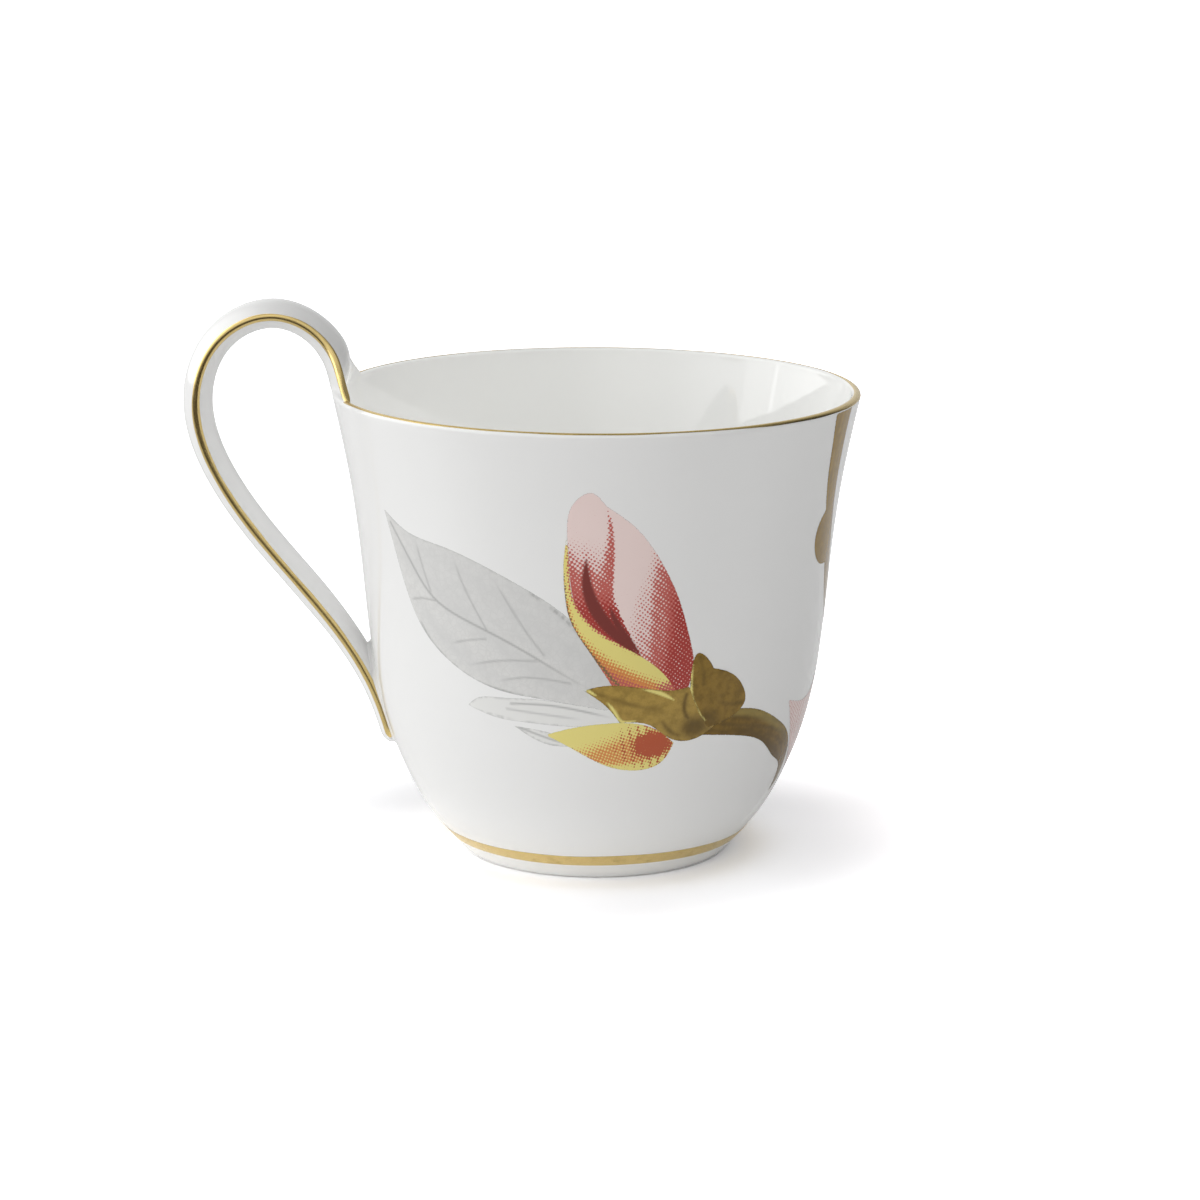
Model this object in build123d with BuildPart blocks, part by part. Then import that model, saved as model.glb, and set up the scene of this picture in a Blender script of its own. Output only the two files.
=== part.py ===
from build123d import *
from math import cos, exp, pi, sin, sqrt
import os

# A footed teacup in glazed bone china with a tall loop handle.
# It is built as the pottery builds it: a jiggered bowl, a cast strap handle, the slip that lutes the
# strap to the bowl at the lip and low on the wall, brushed gold lines, and fired-on printed transfers.
#
# Sizes are in millimetres. The origin is the centre of the plane the foot rests on, +Z is up, the
# handle points to -X and the flower bud faces -Y.

# ---------------------------------------------------------------- bowl
RIM_RADIUS = 46.0
CUP_HEIGHT = 82.0                              # foot to lip, without the handle
LIP_THICKNESS = 1.5
LIP_Z = CUP_HEIGHT - LIP_THICKNESS / 2
LIP_RADIUS = RIM_RADIUS - LIP_THICKNESS / 2    # middle of the lip
FOOT_OUTER_RADIUS = 23.4
FOOT_INNER_RADIUS = 20.8
FOOT_CORNER = 0.5                              # rounding of the ring the cup stands on
UNDERSIDE_Z = 2.6                              # hollow inside the foot ring
UNDERSIDE_RISE = 0.6

OUTER_WALL = [(25.2, 2.2), (30.1, 8.2), (33.3, 14.0), (36.8, 23.0), (39.3, 34.5), (40.9, 49.2),
              (42.9, 65.6), (RIM_RADIUS, LIP_Z)]
INNER_WALL = [(RIM_RADIUS - LIP_THICKNESS, LIP_Z), (41.0, 65.6), (38.7, 49.2), (36.9, 34.5),
              (34.2, 23.0), (30.4, 14.2), (25.4, 9.2), (16.0, 6.3), (0.0, 5.6)]

# ---------------------------------------------------------------- handle
# Centre line of the strap in the X-Z plane, from inside the lip, over the loop, down to the wall.
HANDLE_PATH = [(-44.6, 78.5), (-44.8, 82.0), (-45.5, 87.6), (-47.8, 91.1), (-55.8, 94.9),
               (-65.4, 90.7), (-69.5, 79.6), (-65.1, 65.4), (-54.7, 51.1), (-43.6, 37.0),
               (-38.3, 27.0), (-35.7, 18.6)]
STRAP_HALF_WIDTH = 5.3
STRAP_HALF_THICKNESS = 2.55
STRAP_NOSE = 0.6             # radius of the rounded edges that carry the gold
RIM_RISE = 2.8               # the middle of the lip is this far along the centre line
STRAP_START = 4.7            # the strap begins just above the lip, on its bed of slip
FLARE = 10.0                 # extra half width where the strap runs out into the lip
FLARE_LENGTH = 4.9
FLARE_POWER = 1.4
SET_BACK_LENGTH = 38.0       # the edges follow the lip's circle less and less over this length
ROOT_HALF_THICKNESS = 0.6    # the slip feathers out inside the thickness of the lip
ROOT_LENGTH = 11.0
ROOT_POWER = 1.7
HEEL_LENGTH = 3.0            # rounded lower end
HEEL_THINNING = 0.7
SLIP_THICKNESS = 0.35        # bed of slip under the lower end
SLIP_HALF_WIDTH = 5.9
SLIP_BOTTOM = 17.0
SLIP_TOP = 34.5

# ---------------------------------------------------------------- gold and transfers
FILM = 0.08                  # thickness of a fired transfer
GOLD_FILM = 0.15
GOLD_END = 3.6               # the gold on the strap's edges stops this far before its end
RIM_GOLD_GAP = 19.8          # degrees each side of the handle without a gold lip line
BAND_BOTTOM = 3.0
BAND_TOP = 5.05
DRAWING_RADIUS = 40.0        # the pictures are drawn on a cylinder of this radius, bud at the front

# Outlines of the transfers as (distance round the cup from the front, height). Each list holds the
# runs of one outline, and the runs meet in points.
CALYX = [[(-2.0, 37.4), (1.0, 38.2), (5.4, 38.1), (9.6, 37.0), (12.6, 35.4)],
         [(12.6, 35.4), (14.2, 36.4), (15.8, 36.4)],
         [(15.8, 36.4), (17.6, 33.2), (20.6, 30.2)],
         [(20.6, 30.2), (17.2, 27.6), (13.6, 28.2), (9.4, 31.0), (4.2, 31.6)],
         [(4.2, 31.6), (2.0, 34.4), (-2.0, 37.4)]]
SEPAL = [[(-4.5, 64.6), (-5.1, 59.6), (-5.0, 54.4), (-4.2, 49.8), (-1.3, 44.6), (4.2, 37.9)],
         [(4.2, 37.9), (9.6, 36.7), (12.4, 35.2), (13.9, 36.1)],
         [(13.9, 36.1), (11.6, 40.0), (4.8, 45.0), (-0.6, 48.8), (-3.6, 53.4), (-4.2, 58.8), (-4.5, 64.6)]]
BUD = [[(-4.3, 61.5), (-4.4, 66.8), (-3.2, 70.3), (-0.8, 71.9), (1.6, 69.6)],
       [(1.6, 69.6), (6.0, 66.0), (10.3, 60.0), (13.8, 52.8), (16.0, 45.8), (16.9, 40.4), (15.7, 36.2)],
       [(15.7, 36.2), (12.6, 37.4), (8.0, 41.6), (2.4, 45.8), (-2.0, 50.2), (-4.3, 61.5)]]
BRACT = [[(16.5, 36.8), (16.6, 40.6), (17.7, 43.2), (19.4, 42.2), (20.8, 40.2)],
         [(20.8, 40.2), (24.2, 39.0), (27.4, 36.0), (28.2, 33.4), (25.8, 31.0), (20.6, 29.6)],
         [(20.6, 29.6), (18.6, 32.4), (16.5, 36.8)]]
TWIG = [[(24.0, 32.4), (31.2, 31.4), (38.0, 28.4), (44.4, 24.4), (48.2, 19.6), (49.8, 14.4)],
        [(49.8, 14.4), (47.6, 12.6)],
        [(47.6, 12.6), (45.8, 17.8), (40.6, 20.8), (35.0, 24.6), (28.0, 27.0), (20.0, 28.0)],
        [(20.0, 28.0), (24.0, 32.4)]]
SMALL_BUD = [[(-8.8, 29.2), (-4.2, 30.6), (1.6, 31.5), (7.4, 31.3), (11.6, 29.6), (14.2, 27.4)],
             [(14.2, 27.4), (12.4, 24.2), (7.0, 22.7), (1.2, 24.0), (-4.4, 27.0), (-8.8, 29.2)]]
LARGE_LEAF = [[(-39.8, 65.0), (-33.8, 62.0), (-26.6, 60.7), (-19.0, 58.4), (-11.6, 54.9), (-5.4, 49.6),
               (-0.8, 43.4), (3.8, 38.4)],
              [(3.8, 38.4), (-2.0, 36.6), (1.4, 33.8)],
              [(1.4, 33.8), (-8.4, 35.5), (-17.4, 36.7), (-25.6, 40.0), (-32.4, 45.6), (-36.8, 54.4),
               (-39.8, 65.0)]]
SMALL_LEAF = [[(-23.4, 33.1), (-17.6, 34.9), (-10.4, 35.5), (-3.8, 34.8), (1.8, 33.4)],
              [(1.8, 33.4), (3.6, 31.8)],
              [(3.6, 31.8), (-4.6, 30.8), (-11.6, 31.0), (-18.0, 32.2), (-23.4, 33.1)]]
LOWER_LEAF = [[(-14.4, 30.4), (-10.2, 30.0), (-6.6, 29.2), (-3.0, 27.4)],
              [(-3.0, 27.4), (-8.2, 27.4), (-14.4, 30.4)]]
BRANCH = [[(43.6, 80.2), (50.0, 80.2)],
          [(50.0, 80.2), (50.2, 73.4), (51.2, 66.0), (54.2, 56.4), (57.8, 48.4), (61.5, 43.4)],
          [(61.5, 43.4), (58.6, 41.6)],
          [(58.6, 41.6), (54.8, 45.8), (51.0, 53.6)],
          [(51.0, 53.6), (47.4, 54.2), (44.3, 57.8), (44.7, 61.2), (47.2, 63.6)],
          [(47.2, 63.6), (45.2, 70.4), (44.4, 75.6), (43.6, 80.2)]]
BLOOM_FRONT = [[(41.4, 31.0), (50.0, 29.6), (58.4, 33.2), (64.6, 38.4), (70.0, 38.6)],
               [(70.0, 38.6), (67.0, 29.8), (60.4, 21.4), (52.6, 16.2)],
               [(52.6, 16.2), (46.8, 22.6), (41.4, 31.0)]]
BLOOM_BACK = [[(70.0, 38.6), (64.2, 46.4), (63.6, 56.0), (69.0, 64.4), (76.4, 60.0)],
              [(76.4, 60.0), (86.2, 62.4), (96.8, 56.6), (98.2, 46.0)],
              [(98.2, 46.0), (99.8, 35.2), (92.8, 25.4), (83.0, 23.6)],
              [(83.0, 23.6), (74.4, 19.0), (66.6, 20.6), (63.6, 25.2)],
              [(63.6, 25.2), (67.0, 29.8), (70.0, 38.6)]]
BLOOM_HEART = [[(74.2, 44.2), (78.0, 49.2), (83.6, 48.8), (86.4, 43.8), (83.8, 37.4), (78.0, 35.4),
                (73.8, 38.8), (74.2, 44.2)]]
BACK_LEAF = [[(95.0, 30.4), (104.4, 35.4), (115.2, 45.8), (121.0, 59.8)],
             [(121.0, 59.8), (123.6, 46.0), (119.6, 32.4), (108.0, 23.8), (94.6, 25.0)],
             [(94.6, 25.0), (95.0, 30.4)]]


def wall_radius(z):
    """Outer radius of the bowl at height z, between the points of its profile."""
    for (r0, z0), (r1, z1) in zip(OUTER_WALL, OUTER_WALL[1:]):
        if z <= z1:
            return r0 + (r1 - r0) * (z - z0) / (z1 - z0)
    return RIM_RADIUS


def moved_out(points, distance):
    """The profile points moved along the wall's outward normal."""
    moved = []
    for i, (r, z) in enumerate(points):
        before = points[max(i - 1, 0)]
        after = points[min(i + 1, len(points) - 1)]
        run, rise = after[0] - before[0], after[1] - before[1]
        length = sqrt(run**2 + rise**2)
        moved.append((r + distance * rise / length, z - distance * run / length))
    return moved


def skin(thickness):
    """A layer of even thickness over the outside of the bowl."""
    with BuildPart() as layer:
        with BuildSketch(Plane.XZ):
            with BuildLine():
                inside = Spline(*OUTER_WALL)
                outside = Spline(*moved_out(OUTER_WALL, thickness))
                Line(inside @ 0, outside @ 0)
                Line(inside @ 1, outside @ 1)
            make_face()
        revolve(axis=Axis.Z)
    return layer.part


def print_block(runs):
    """A block that reaches from the cup's axis outwards, with the outline of one transfer."""
    around = [a for run in runs for a, z in run]
    middle = (min(around) + max(around)) / 2 / DRAWING_RADIUS
    facing = Plane(origin=(0, 0, 0), x_dir=(cos(middle), sin(middle), 0), z_dir=(sin(middle), -cos(middle), 0))
    with BuildPart() as block:
        with BuildSketch(facing):
            with BuildLine():
                for run in runs:
                    ends = [(wall_radius(z) * sin(a / DRAWING_RADIUS - middle), z) for a, z in run]
                    if len(ends) == 2:
                        Line(*ends)
                    else:
                        Spline(*ends)
            make_face()
        extrude(amount=60)
    return block.part


# ================================================================ bowl
with BuildPart() as cup_body:
    with BuildSketch(Plane.XZ):
        with BuildLine():
            outer = Spline(*OUTER_WALL)
            inner = Spline(*INNER_WALL)
            ThreePointArc(outer @ 1, (LIP_RADIUS, CUP_HEIGHT), inner @ 0)
            Polyline(
                inner @ 1,
                (0, UNDERSIDE_Z + UNDERSIDE_RISE),
                (FOOT_INNER_RADIUS - 1, UNDERSIDE_Z),
                (FOOT_INNER_RADIUS, 0),
                (FOOT_OUTER_RADIUS, 0),
                outer @ 0,
            )
        make_face()
    revolve(axis=Axis.Z)
    foot_edges = cup_body.edges().filter_by(GeomType.CIRCLE).group_by(Axis.Z)[0]
    fillet(foot_edges, radius=FOOT_CORNER)
cup_body.part.label = "cup_body"

# ================================================================ handle
with BuildLine(Plane.XZ) as centre_line:
    Spline(*HANDLE_PATH)
path = centre_line.wires()[0]
PATH_LENGTH = path.length


def half_width(d):
    """Half the strap's width at distance d along its centre line: it flares out into the lip."""
    above = max(0, d - RIM_RISE)
    return STRAP_HALF_WIDTH + FLARE * exp(-(above / FLARE_LENGTH) ** FLARE_POWER)


def half_thickness(d):
    """Half the strap's thickness: thin at the lip, full in the loop, easing off to the heel."""
    if d < ROOT_LENGTH:
        grown = sin(pi / 2 * d / ROOT_LENGTH) ** ROOT_POWER
        return ROOT_HALF_THICKNESS + (STRAP_HALF_THICKNESS - ROOT_HALF_THICKNESS) * grown
    return STRAP_HALF_THICKNESS - HEEL_THINNING * max(0, 1 - (PATH_LENGTH - d) / 30)


def heel(d):
    """Scale of the section at the lower end, where the strap is rounded off."""
    left = PATH_LENGTH - d
    return 1 if left >= HEEL_LENGTH else sqrt(1 - (1 - left / HEEL_LENGTH) ** 2)


def edge_set_back(d):
    """How far the strap's edges lie behind its middle, so that they follow the lip's circle."""
    return (LIP_RADIUS - sqrt(LIP_RADIUS**2 - half_width(d) ** 2)) * max(0, 1 - d / SET_BACK_LENGTH)


def section_plane(d):
    """Plane across the strap: its x runs over the strap's width, its y faces the finger hole."""
    return Plane(origin=path @ (d / PATH_LENGTH), x_dir=(0, 1, 0), z_dir=path % (d / PATH_LENGTH))


def strap_section(d):
    """Lens-shaped section of the strap with a rounded nose on each edge."""
    w = half_width(d) * heel(d)
    t = half_thickness(d) * heel(d)
    nose = min(STRAP_NOSE, 0.6 * t)
    back = edge_set_back(d)
    with BuildSketch(section_plane(d)) as section:
        with BuildLine():
            ThreePointArc((-w + nose, nose - back), (0, t), (w - nose, nose - back))
            ThreePointArc((w - nose, nose - back), (w, -back), (w - nose, -nose - back))
            ThreePointArc((w - nose, -nose - back), (0, -t), (-w + nose, -nose - back))
            ThreePointArc((-w + nose, -nose - back), (-w, -back), (-w + nose, nose - back))
        make_face()
    return section.sketch


def edge_section(d, side):
    """Round section of the gold line on one edge of the strap, side -1 near or +1 far."""
    nose = min(STRAP_NOSE, 0.6 * half_thickness(d))
    with BuildSketch(section_plane(d)) as section:
        with Locations((side * (half_width(d) - nose), -edge_set_back(d))):
            Circle(nose + GOLD_FILM)
    return section.sketch


root_stations = [0.2, 1.8, 3.2, STRAP_START]
strap_stations = [STRAP_START + s for s in (0, 1.3, 2.8, 4.8, 7.6, 11.5, 16, 21)]
strap_stations += [STRAP_START + 21 + 8 * i for i in range(1, 9)]
strap_stations += [PATH_LENGTH - s for s in (19, 13, 8, 5, 3, 1.8, 0.9, 0.3)]
gold_stations = root_stations[1:] + [s for s in strap_stations[1:] if s < PATH_LENGTH - GOLD_END]

with BuildPart() as lower_joint_slip:
    with BuildSketch(Plane.YZ.offset(-60)):
        with Locations((0, (SLIP_BOTTOM + SLIP_TOP) / 2)):
            SlotOverall(SLIP_TOP - SLIP_BOTTOM, 2 * SLIP_HALF_WIDTH, rotation=90)
    extrude(amount=60)
    add(skin(SLIP_THICKNESS), mode=Mode.INTERSECT)
lower_joint_slip.part.label = "lower_joint_slip"

with BuildPart() as handle:
    loft([strap_section(d) for d in strap_stations])
    add(cup_body.part, mode=Mode.SUBTRACT)
    add(lower_joint_slip.part, mode=Mode.SUBTRACT)
handle.part.label = "handle"

with BuildPart() as upper_joint_slip:
    loft([strap_section(d) for d in root_stations])
    add(cup_body.part, mode=Mode.SUBTRACT)
upper_joint_slip.part.label = "upper_joint_slip"

# ================================================================ gold
with BuildPart() as handle_gold_near:
    loft([edge_section(d, -1) for d in gold_stations])
    add(handle.part, mode=Mode.SUBTRACT)
    add(upper_joint_slip.part, mode=Mode.SUBTRACT)
    add(cup_body.part, mode=Mode.SUBTRACT)
    add(lower_joint_slip.part, mode=Mode.SUBTRACT)
    add(handle_gold_near.solids().sort_by(SortBy.VOLUME)[-1], mode=Mode.REPLACE)
handle_gold_near.part.label = "handle_gold_near"

with BuildPart() as handle_gold_far:
    add(mirror(handle_gold_near.part, about=Plane.XZ, mode=Mode.PRIVATE))
handle_gold_far.part.label = "handle_gold_far"

with BuildPart() as rim_gold_line:
    with BuildSketch(Plane.XZ.rotated((0, 0, RIM_GOLD_GAP - 180))):
        with Locations((LIP_RADIUS, LIP_Z)):
            Circle(LIP_THICKNESS / 2 + GOLD_FILM)
    revolve(axis=Axis.Z, revolution_arc=360 - 2 * RIM_GOLD_GAP)
    add(cup_body.part, mode=Mode.SUBTRACT)
    add(upper_joint_slip.part, mode=Mode.SUBTRACT)
    add(handle_gold_near.part, mode=Mode.SUBTRACT)
    add(handle_gold_far.part, mode=Mode.SUBTRACT)
rim_gold_line.part.label = "rim_gold_line"

film_layer = skin(FILM)

with BuildPart() as foot_gold_band:
    with BuildSketch(Plane.XY.offset(BAND_BOTTOM)):
        Circle(RIM_RADIUS)
    extrude(amount=BAND_TOP - BAND_BOTTOM)
    add(film_layer, mode=Mode.INTERSECT)
foot_gold_band.part.label = "foot_gold_band"

# ================================================================ transfers
with BuildPart() as calyx:
    add(print_block(CALYX))
    add(film_layer, mode=Mode.INTERSECT)
calyx.part.label = "calyx"

with BuildPart() as bract:
    add(print_block(BRACT))
    add(film_layer, mode=Mode.INTERSECT)
    add(print_block(CALYX), mode=Mode.SUBTRACT)
bract.part.label = "bract"

with BuildPart() as bud_sepal:
    add(print_block(SEPAL))
    add(film_layer, mode=Mode.INTERSECT)
    add(print_block(CALYX), mode=Mode.SUBTRACT)
    add(print_block(BRACT), mode=Mode.SUBTRACT)
bud_sepal.part.label = "bud_sepal"

with BuildPart() as bud_petals:
    add(print_block(BUD))
    add(film_layer, mode=Mode.INTERSECT)
    add(print_block(CALYX), mode=Mode.SUBTRACT)
    add(print_block(BRACT), mode=Mode.SUBTRACT)
    add(print_block(SEPAL), mode=Mode.SUBTRACT)
bud_petals.part.label = "bud_petals"

with BuildPart() as small_bud:
    add(print_block(SMALL_BUD))
    add(film_layer, mode=Mode.INTERSECT)
    add(print_block(CALYX), mode=Mode.SUBTRACT)
small_bud.part.label = "small_bud"

with BuildPart() as bloom_front_petal:
    add(print_block(BLOOM_FRONT))
    add(film_layer, mode=Mode.INTERSECT)
bloom_front_petal.part.label = "bloom_front_petal"

with BuildPart() as twig:
    add(print_block(TWIG))
    add(film_layer, mode=Mode.INTERSECT)
    add(print_block(CALYX), mode=Mode.SUBTRACT)
    add(print_block(BRACT), mode=Mode.SUBTRACT)
    add(print_block(BLOOM_FRONT), mode=Mode.SUBTRACT)
twig.part.label = "twig"

with BuildPart() as large_leaf:
    add(print_block(LARGE_LEAF))
    add(film_layer, mode=Mode.INTERSECT)
    add(print_block(CALYX), mode=Mode.SUBTRACT)
    add(print_block(SEPAL), mode=Mode.SUBTRACT)
large_leaf.part.label = "large_leaf"

with BuildPart() as small_leaf:
    add(print_block(SMALL_LEAF))
    add(film_layer, mode=Mode.INTERSECT)
    add(print_block(CALYX), mode=Mode.SUBTRACT)
    add(print_block(LARGE_LEAF), mode=Mode.SUBTRACT)
    add(print_block(SMALL_BUD), mode=Mode.SUBTRACT)
small_leaf.part.label = "small_leaf"

with BuildPart() as lower_leaf:
    add(print_block(LOWER_LEAF))
    add(film_layer, mode=Mode.INTERSECT)
    add(print_block(SMALL_BUD), mode=Mode.SUBTRACT)
    add(print_block(SMALL_LEAF), mode=Mode.SUBTRACT)
lower_leaf.part.label = "lower_leaf"

with BuildPart() as bloom_heart:
    add(print_block(BLOOM_HEART))
    add(film_layer, mode=Mode.INTERSECT)
bloom_heart.part.label = "bloom_heart"

with BuildPart() as bloom_petals:
    add(print_block(BLOOM_BACK))
    add(film_layer, mode=Mode.INTERSECT)
    add(print_block(BLOOM_HEART), mode=Mode.SUBTRACT)
    add(print_block(BLOOM_FRONT), mode=Mode.SUBTRACT)
bloom_petals.part.label = "bloom_petals"

with BuildPart() as branch:
    add(print_block(BRANCH))
    add(film_layer, mode=Mode.INTERSECT)
    add(print_block(BLOOM_FRONT), mode=Mode.SUBTRACT)
    add(print_block(BLOOM_BACK), mode=Mode.SUBTRACT)
branch.part.label = "branch"

with BuildPart() as back_leaf:
    add(print_block(BACK_LEAF))
    add(film_layer, mode=Mode.INTERSECT)
    add(print_block(BLOOM_BACK), mode=Mode.SUBTRACT)
back_leaf.part.label = "back_leaf"

PIECES = [cup_body, handle, upper_joint_slip, lower_joint_slip, handle_gold_near, handle_gold_far,
          rim_gold_line, foot_gold_band, calyx, bract, bud_sepal, bud_petals, small_bud,
          bloom_front_petal, twig, large_leaf, small_leaf, lower_leaf, bloom_heart,
          bloom_petals, branch, back_leaf]
os.makedirs("parts", exist_ok=True)
for piece in PIECES:
    export_step(piece.part, "parts/" + piece.part.label + ".step")
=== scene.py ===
import math
import bpy
import numpy as np
from mathutils import Matrix, Vector
from mathutils.geometry import delaunay_2d_cdt


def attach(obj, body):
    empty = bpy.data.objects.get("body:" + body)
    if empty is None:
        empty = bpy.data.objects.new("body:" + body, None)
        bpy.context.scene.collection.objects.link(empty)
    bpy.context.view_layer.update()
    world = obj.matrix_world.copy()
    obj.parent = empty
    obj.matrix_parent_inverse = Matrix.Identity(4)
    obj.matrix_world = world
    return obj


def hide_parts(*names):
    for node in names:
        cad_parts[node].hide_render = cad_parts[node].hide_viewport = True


# Looks of the high-handled teacup: glazed bone china, gold lines and fired-on printed transfers.
# Lengths in this script are millimetres in the frame of the CAD, and MM turns them into metres.

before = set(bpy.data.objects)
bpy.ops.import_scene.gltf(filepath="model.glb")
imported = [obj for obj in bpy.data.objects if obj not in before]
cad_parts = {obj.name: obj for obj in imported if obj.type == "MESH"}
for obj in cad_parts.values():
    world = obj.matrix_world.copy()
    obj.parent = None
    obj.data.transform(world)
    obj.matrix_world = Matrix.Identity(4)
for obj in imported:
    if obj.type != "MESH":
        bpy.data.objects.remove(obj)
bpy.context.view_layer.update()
MM = 0.001

# ---------------------------------------------------------------- dimensions, as in the CAD
RIM_RADIUS = 46.0
CUP_HEIGHT = 82.0
LIP = 1.5
LIP_Z = CUP_HEIGHT - LIP / 2
LIP_RADIUS = RIM_RADIUS - LIP / 2
OUTER_WALL = [(25.2, 2.2), (30.1, 8.2), (33.3, 14.0), (36.8, 23.0), (39.3, 34.5), (40.9, 49.2),
              (42.9, 65.6), (46.0, 81.25)]
INNER_WALL = [(44.5, 81.25), (41.0, 65.6), (38.7, 49.2), (36.9, 34.5), (34.2, 23.0), (30.4, 14.2),
              (25.4, 9.2), (16.0, 6.3), (0.0, 5.6)]
HANDLE_PATH = [(-44.6, 78.5), (-44.8, 82.0), (-45.5, 87.6), (-47.8, 91.1), (-55.8, 94.9),
               (-65.4, 90.7), (-69.5, 79.6), (-65.1, 65.4), (-54.7, 51.1), (-43.6, 37.0),
               (-38.3, 27.0), (-35.7, 18.6)]
STRAP_HALF_WIDTH, FLARE, FLARE_LENGTH, FLARE_POWER = 5.3, 10.0, 4.9, 1.4
ROOT_LENGTH, ROOT_POWER = 11, 1.7
BAND = (3.0, 5.05)
LIP_GAP = 15.0            # half the gap in the lip's gold, where the strap joins
SUNK = 0.03               # how far the films reach into the china
DRAWING_RADIUS = 40.0     # the prints are drawn on a cylinder of this radius, the bud at the front


# ---------------------------------------------------------------- small geometry tools
def natural_spline(points, count):
    """Points spaced evenly along the smooth curve through the given points."""
    p = np.array(points, float)
    s = np.r_[0, np.cumsum(np.linalg.norm(np.diff(p, axis=0), axis=1))]
    n, h = len(p), np.diff(s)
    a, b = np.eye(n), np.zeros_like(p)
    for i in range(1, n - 1):
        a[i, i - 1:i + 2] = h[i - 1], 2 * (h[i - 1] + h[i]), h[i]
        b[i] = 6 * ((p[i + 1] - p[i]) / h[i] - (p[i] - p[i - 1]) / h[i - 1])
    m = np.linalg.solve(a, b)

    def at(t):
        i = np.clip(np.searchsorted(s, t) - 1, 0, n - 2)
        u, v, g = (s[i + 1] - t)[:, None], (t - s[i])[:, None], h[i][:, None]
        return (m[i] * u**3 + m[i + 1] * v**3) / (6 * g) + (p[i] / g - m[i] * g / 6) * u + \
               (p[i + 1] / g - m[i + 1] * g / 6) * v

    fine = at(np.linspace(0, s[-1], 4000))
    run = np.r_[0, np.cumsum(np.linalg.norm(np.diff(fine, axis=0), axis=1))]
    want = np.linspace(0, run[-1], count)
    return np.stack([np.interp(want, run, fine[:, k]) for k in range(p.shape[1])], -1)


def smooth(low, high, x):
    """0 up to low, 1 from high on, and an S-shaped rise between them; low may be above high."""
    t = np.clip((x - low) / (high - low), 0, 1)
    return t * t * (3 - 2 * t)


def unit(v):
    return v / np.maximum(np.linalg.norm(v, axis=-1, keepdims=True), 1e-12)


def arc(cx, cz, r, start, end, count):
    t = np.radians(np.linspace(start, end, count))
    return np.stack([cx + r * np.cos(t), cz + r * np.sin(t)], -1)


def make_mesh(name, node, finish, verts, faces, normals=None, floats=None, film=None):
    """A smooth-shaded piece in place of one CAD node, on the cup's only body. Vertices are in millimetres."""
    mesh = bpy.data.meshes.new(name)
    mesh.from_pydata((verts.reshape(-1, 3) * MM).tolist(), [], [list(f) for f in faces])
    mesh.polygons.foreach_set("use_smooth", [True] * len(mesh.polygons))
    for key, values in (floats or {}).items():
        layer = mesh.attributes.new(key, "FLOAT", "POINT")
        layer.data.foreach_set("value", np.asarray(values, np.float32))
    if film is not None:
        layer = mesh.attributes.new("film", "FLOAT_VECTOR", "POINT")
        layer.data.foreach_set("vector", np.asarray(film, np.float32).ravel())
    mesh.update()
    if normals is not None:
        mesh.normals_split_custom_set_from_vertices(unit(normals.reshape(-1, 3)).tolist())
    piece = bpy.data.objects.new(name, mesh)
    bpy.context.scene.collection.objects.link(piece)
    mesh.materials.append(finish)
    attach(piece, "root")
    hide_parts(node)


def grid_faces(rows, columns, close_rows=False, close_columns=False):
    """Quads between neighbouring rows of points that are stored row after row."""
    faces = []
    for i in range(rows if close_rows else rows - 1):
        for j in range(columns if close_columns else columns - 1):
            i2, j2 = (i + 1) % rows, (j + 1) % columns
            faces.append((i * columns + j, i * columns + j2, i2 * columns + j2, i2 * columns + j))
    return faces


def end_faces(rows, columns):
    """The two faces that close a tube made of rings of points."""
    return [tuple(range(columns))[::-1], tuple((rows - 1) * columns + k for k in range(columns))]


def grid_normals(points, close_rows=False, close_columns=False):
    """Normals of a grid of points of shape (rows, columns, 3)."""
    def change(p, axis, closed):
        if closed:
            return np.roll(p, -1, axis) - np.roll(p, 1, axis)
        return np.gradient(p, axis=axis)
    return unit(np.cross(change(points, 1, close_columns), change(points, 0, close_rows)))


# ---------------------------------------------------------------- the bowl's wall
outer = natural_spline(OUTER_WALL, 400)
inner = natural_spline(INNER_WALL, 400)
outer_tangent = unit(np.gradient(outer, axis=0))


def wall_radius(z):
    return np.interp(z, outer[:, 1], outer[:, 0])


def on_wall(around, z, lift=0.0):
    """Points on the bowl at a distance round it from the front, and the outward normals there."""
    angle = np.asarray(around, float) / DRAWING_RADIUS
    z = np.asarray(z, float)
    r = wall_radius(z)
    tr = np.interp(z, outer[:, 1], outer_tangent[:, 0])
    tz = np.interp(z, outer[:, 1], outer_tangent[:, 1])
    nr, nz = tz, -tr
    r, z = r + nr * lift, z + nz * lift
    points = np.stack([r * np.sin(angle), -r * np.cos(angle), z], -1)
    normals = np.stack([nr * np.sin(angle), -nr * np.cos(angle), nz], -1)
    return points, unit(normals)


# ---------------------------------------------------------------- the strap's shape
path = natural_spline(HANDLE_PATH, 3000)
path_run = np.r_[0, np.cumsum(np.linalg.norm(np.diff(path, axis=0), axis=1))]
path_tangent = unit(np.gradient(path, axis=0))
PATH_LENGTH = path_run[-1]
LIP_AT = 2.8              # the middle of the lip is this far along the centre line
STRAP_START = 4.7         # the strap begins on its bed of slip just above the lip


def half_width(d):
    x = np.maximum(d - LIP_AT, 0)
    flared = STRAP_HALF_WIDTH + FLARE * np.exp(-(x / FLARE_LENGTH) ** FLARE_POWER)
    left = np.clip(1 - (PATH_LENGTH - d) / 3.6, 0, 1)
    return flared * (1 - left ** 2.4) ** (1 / 2.4)


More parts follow.
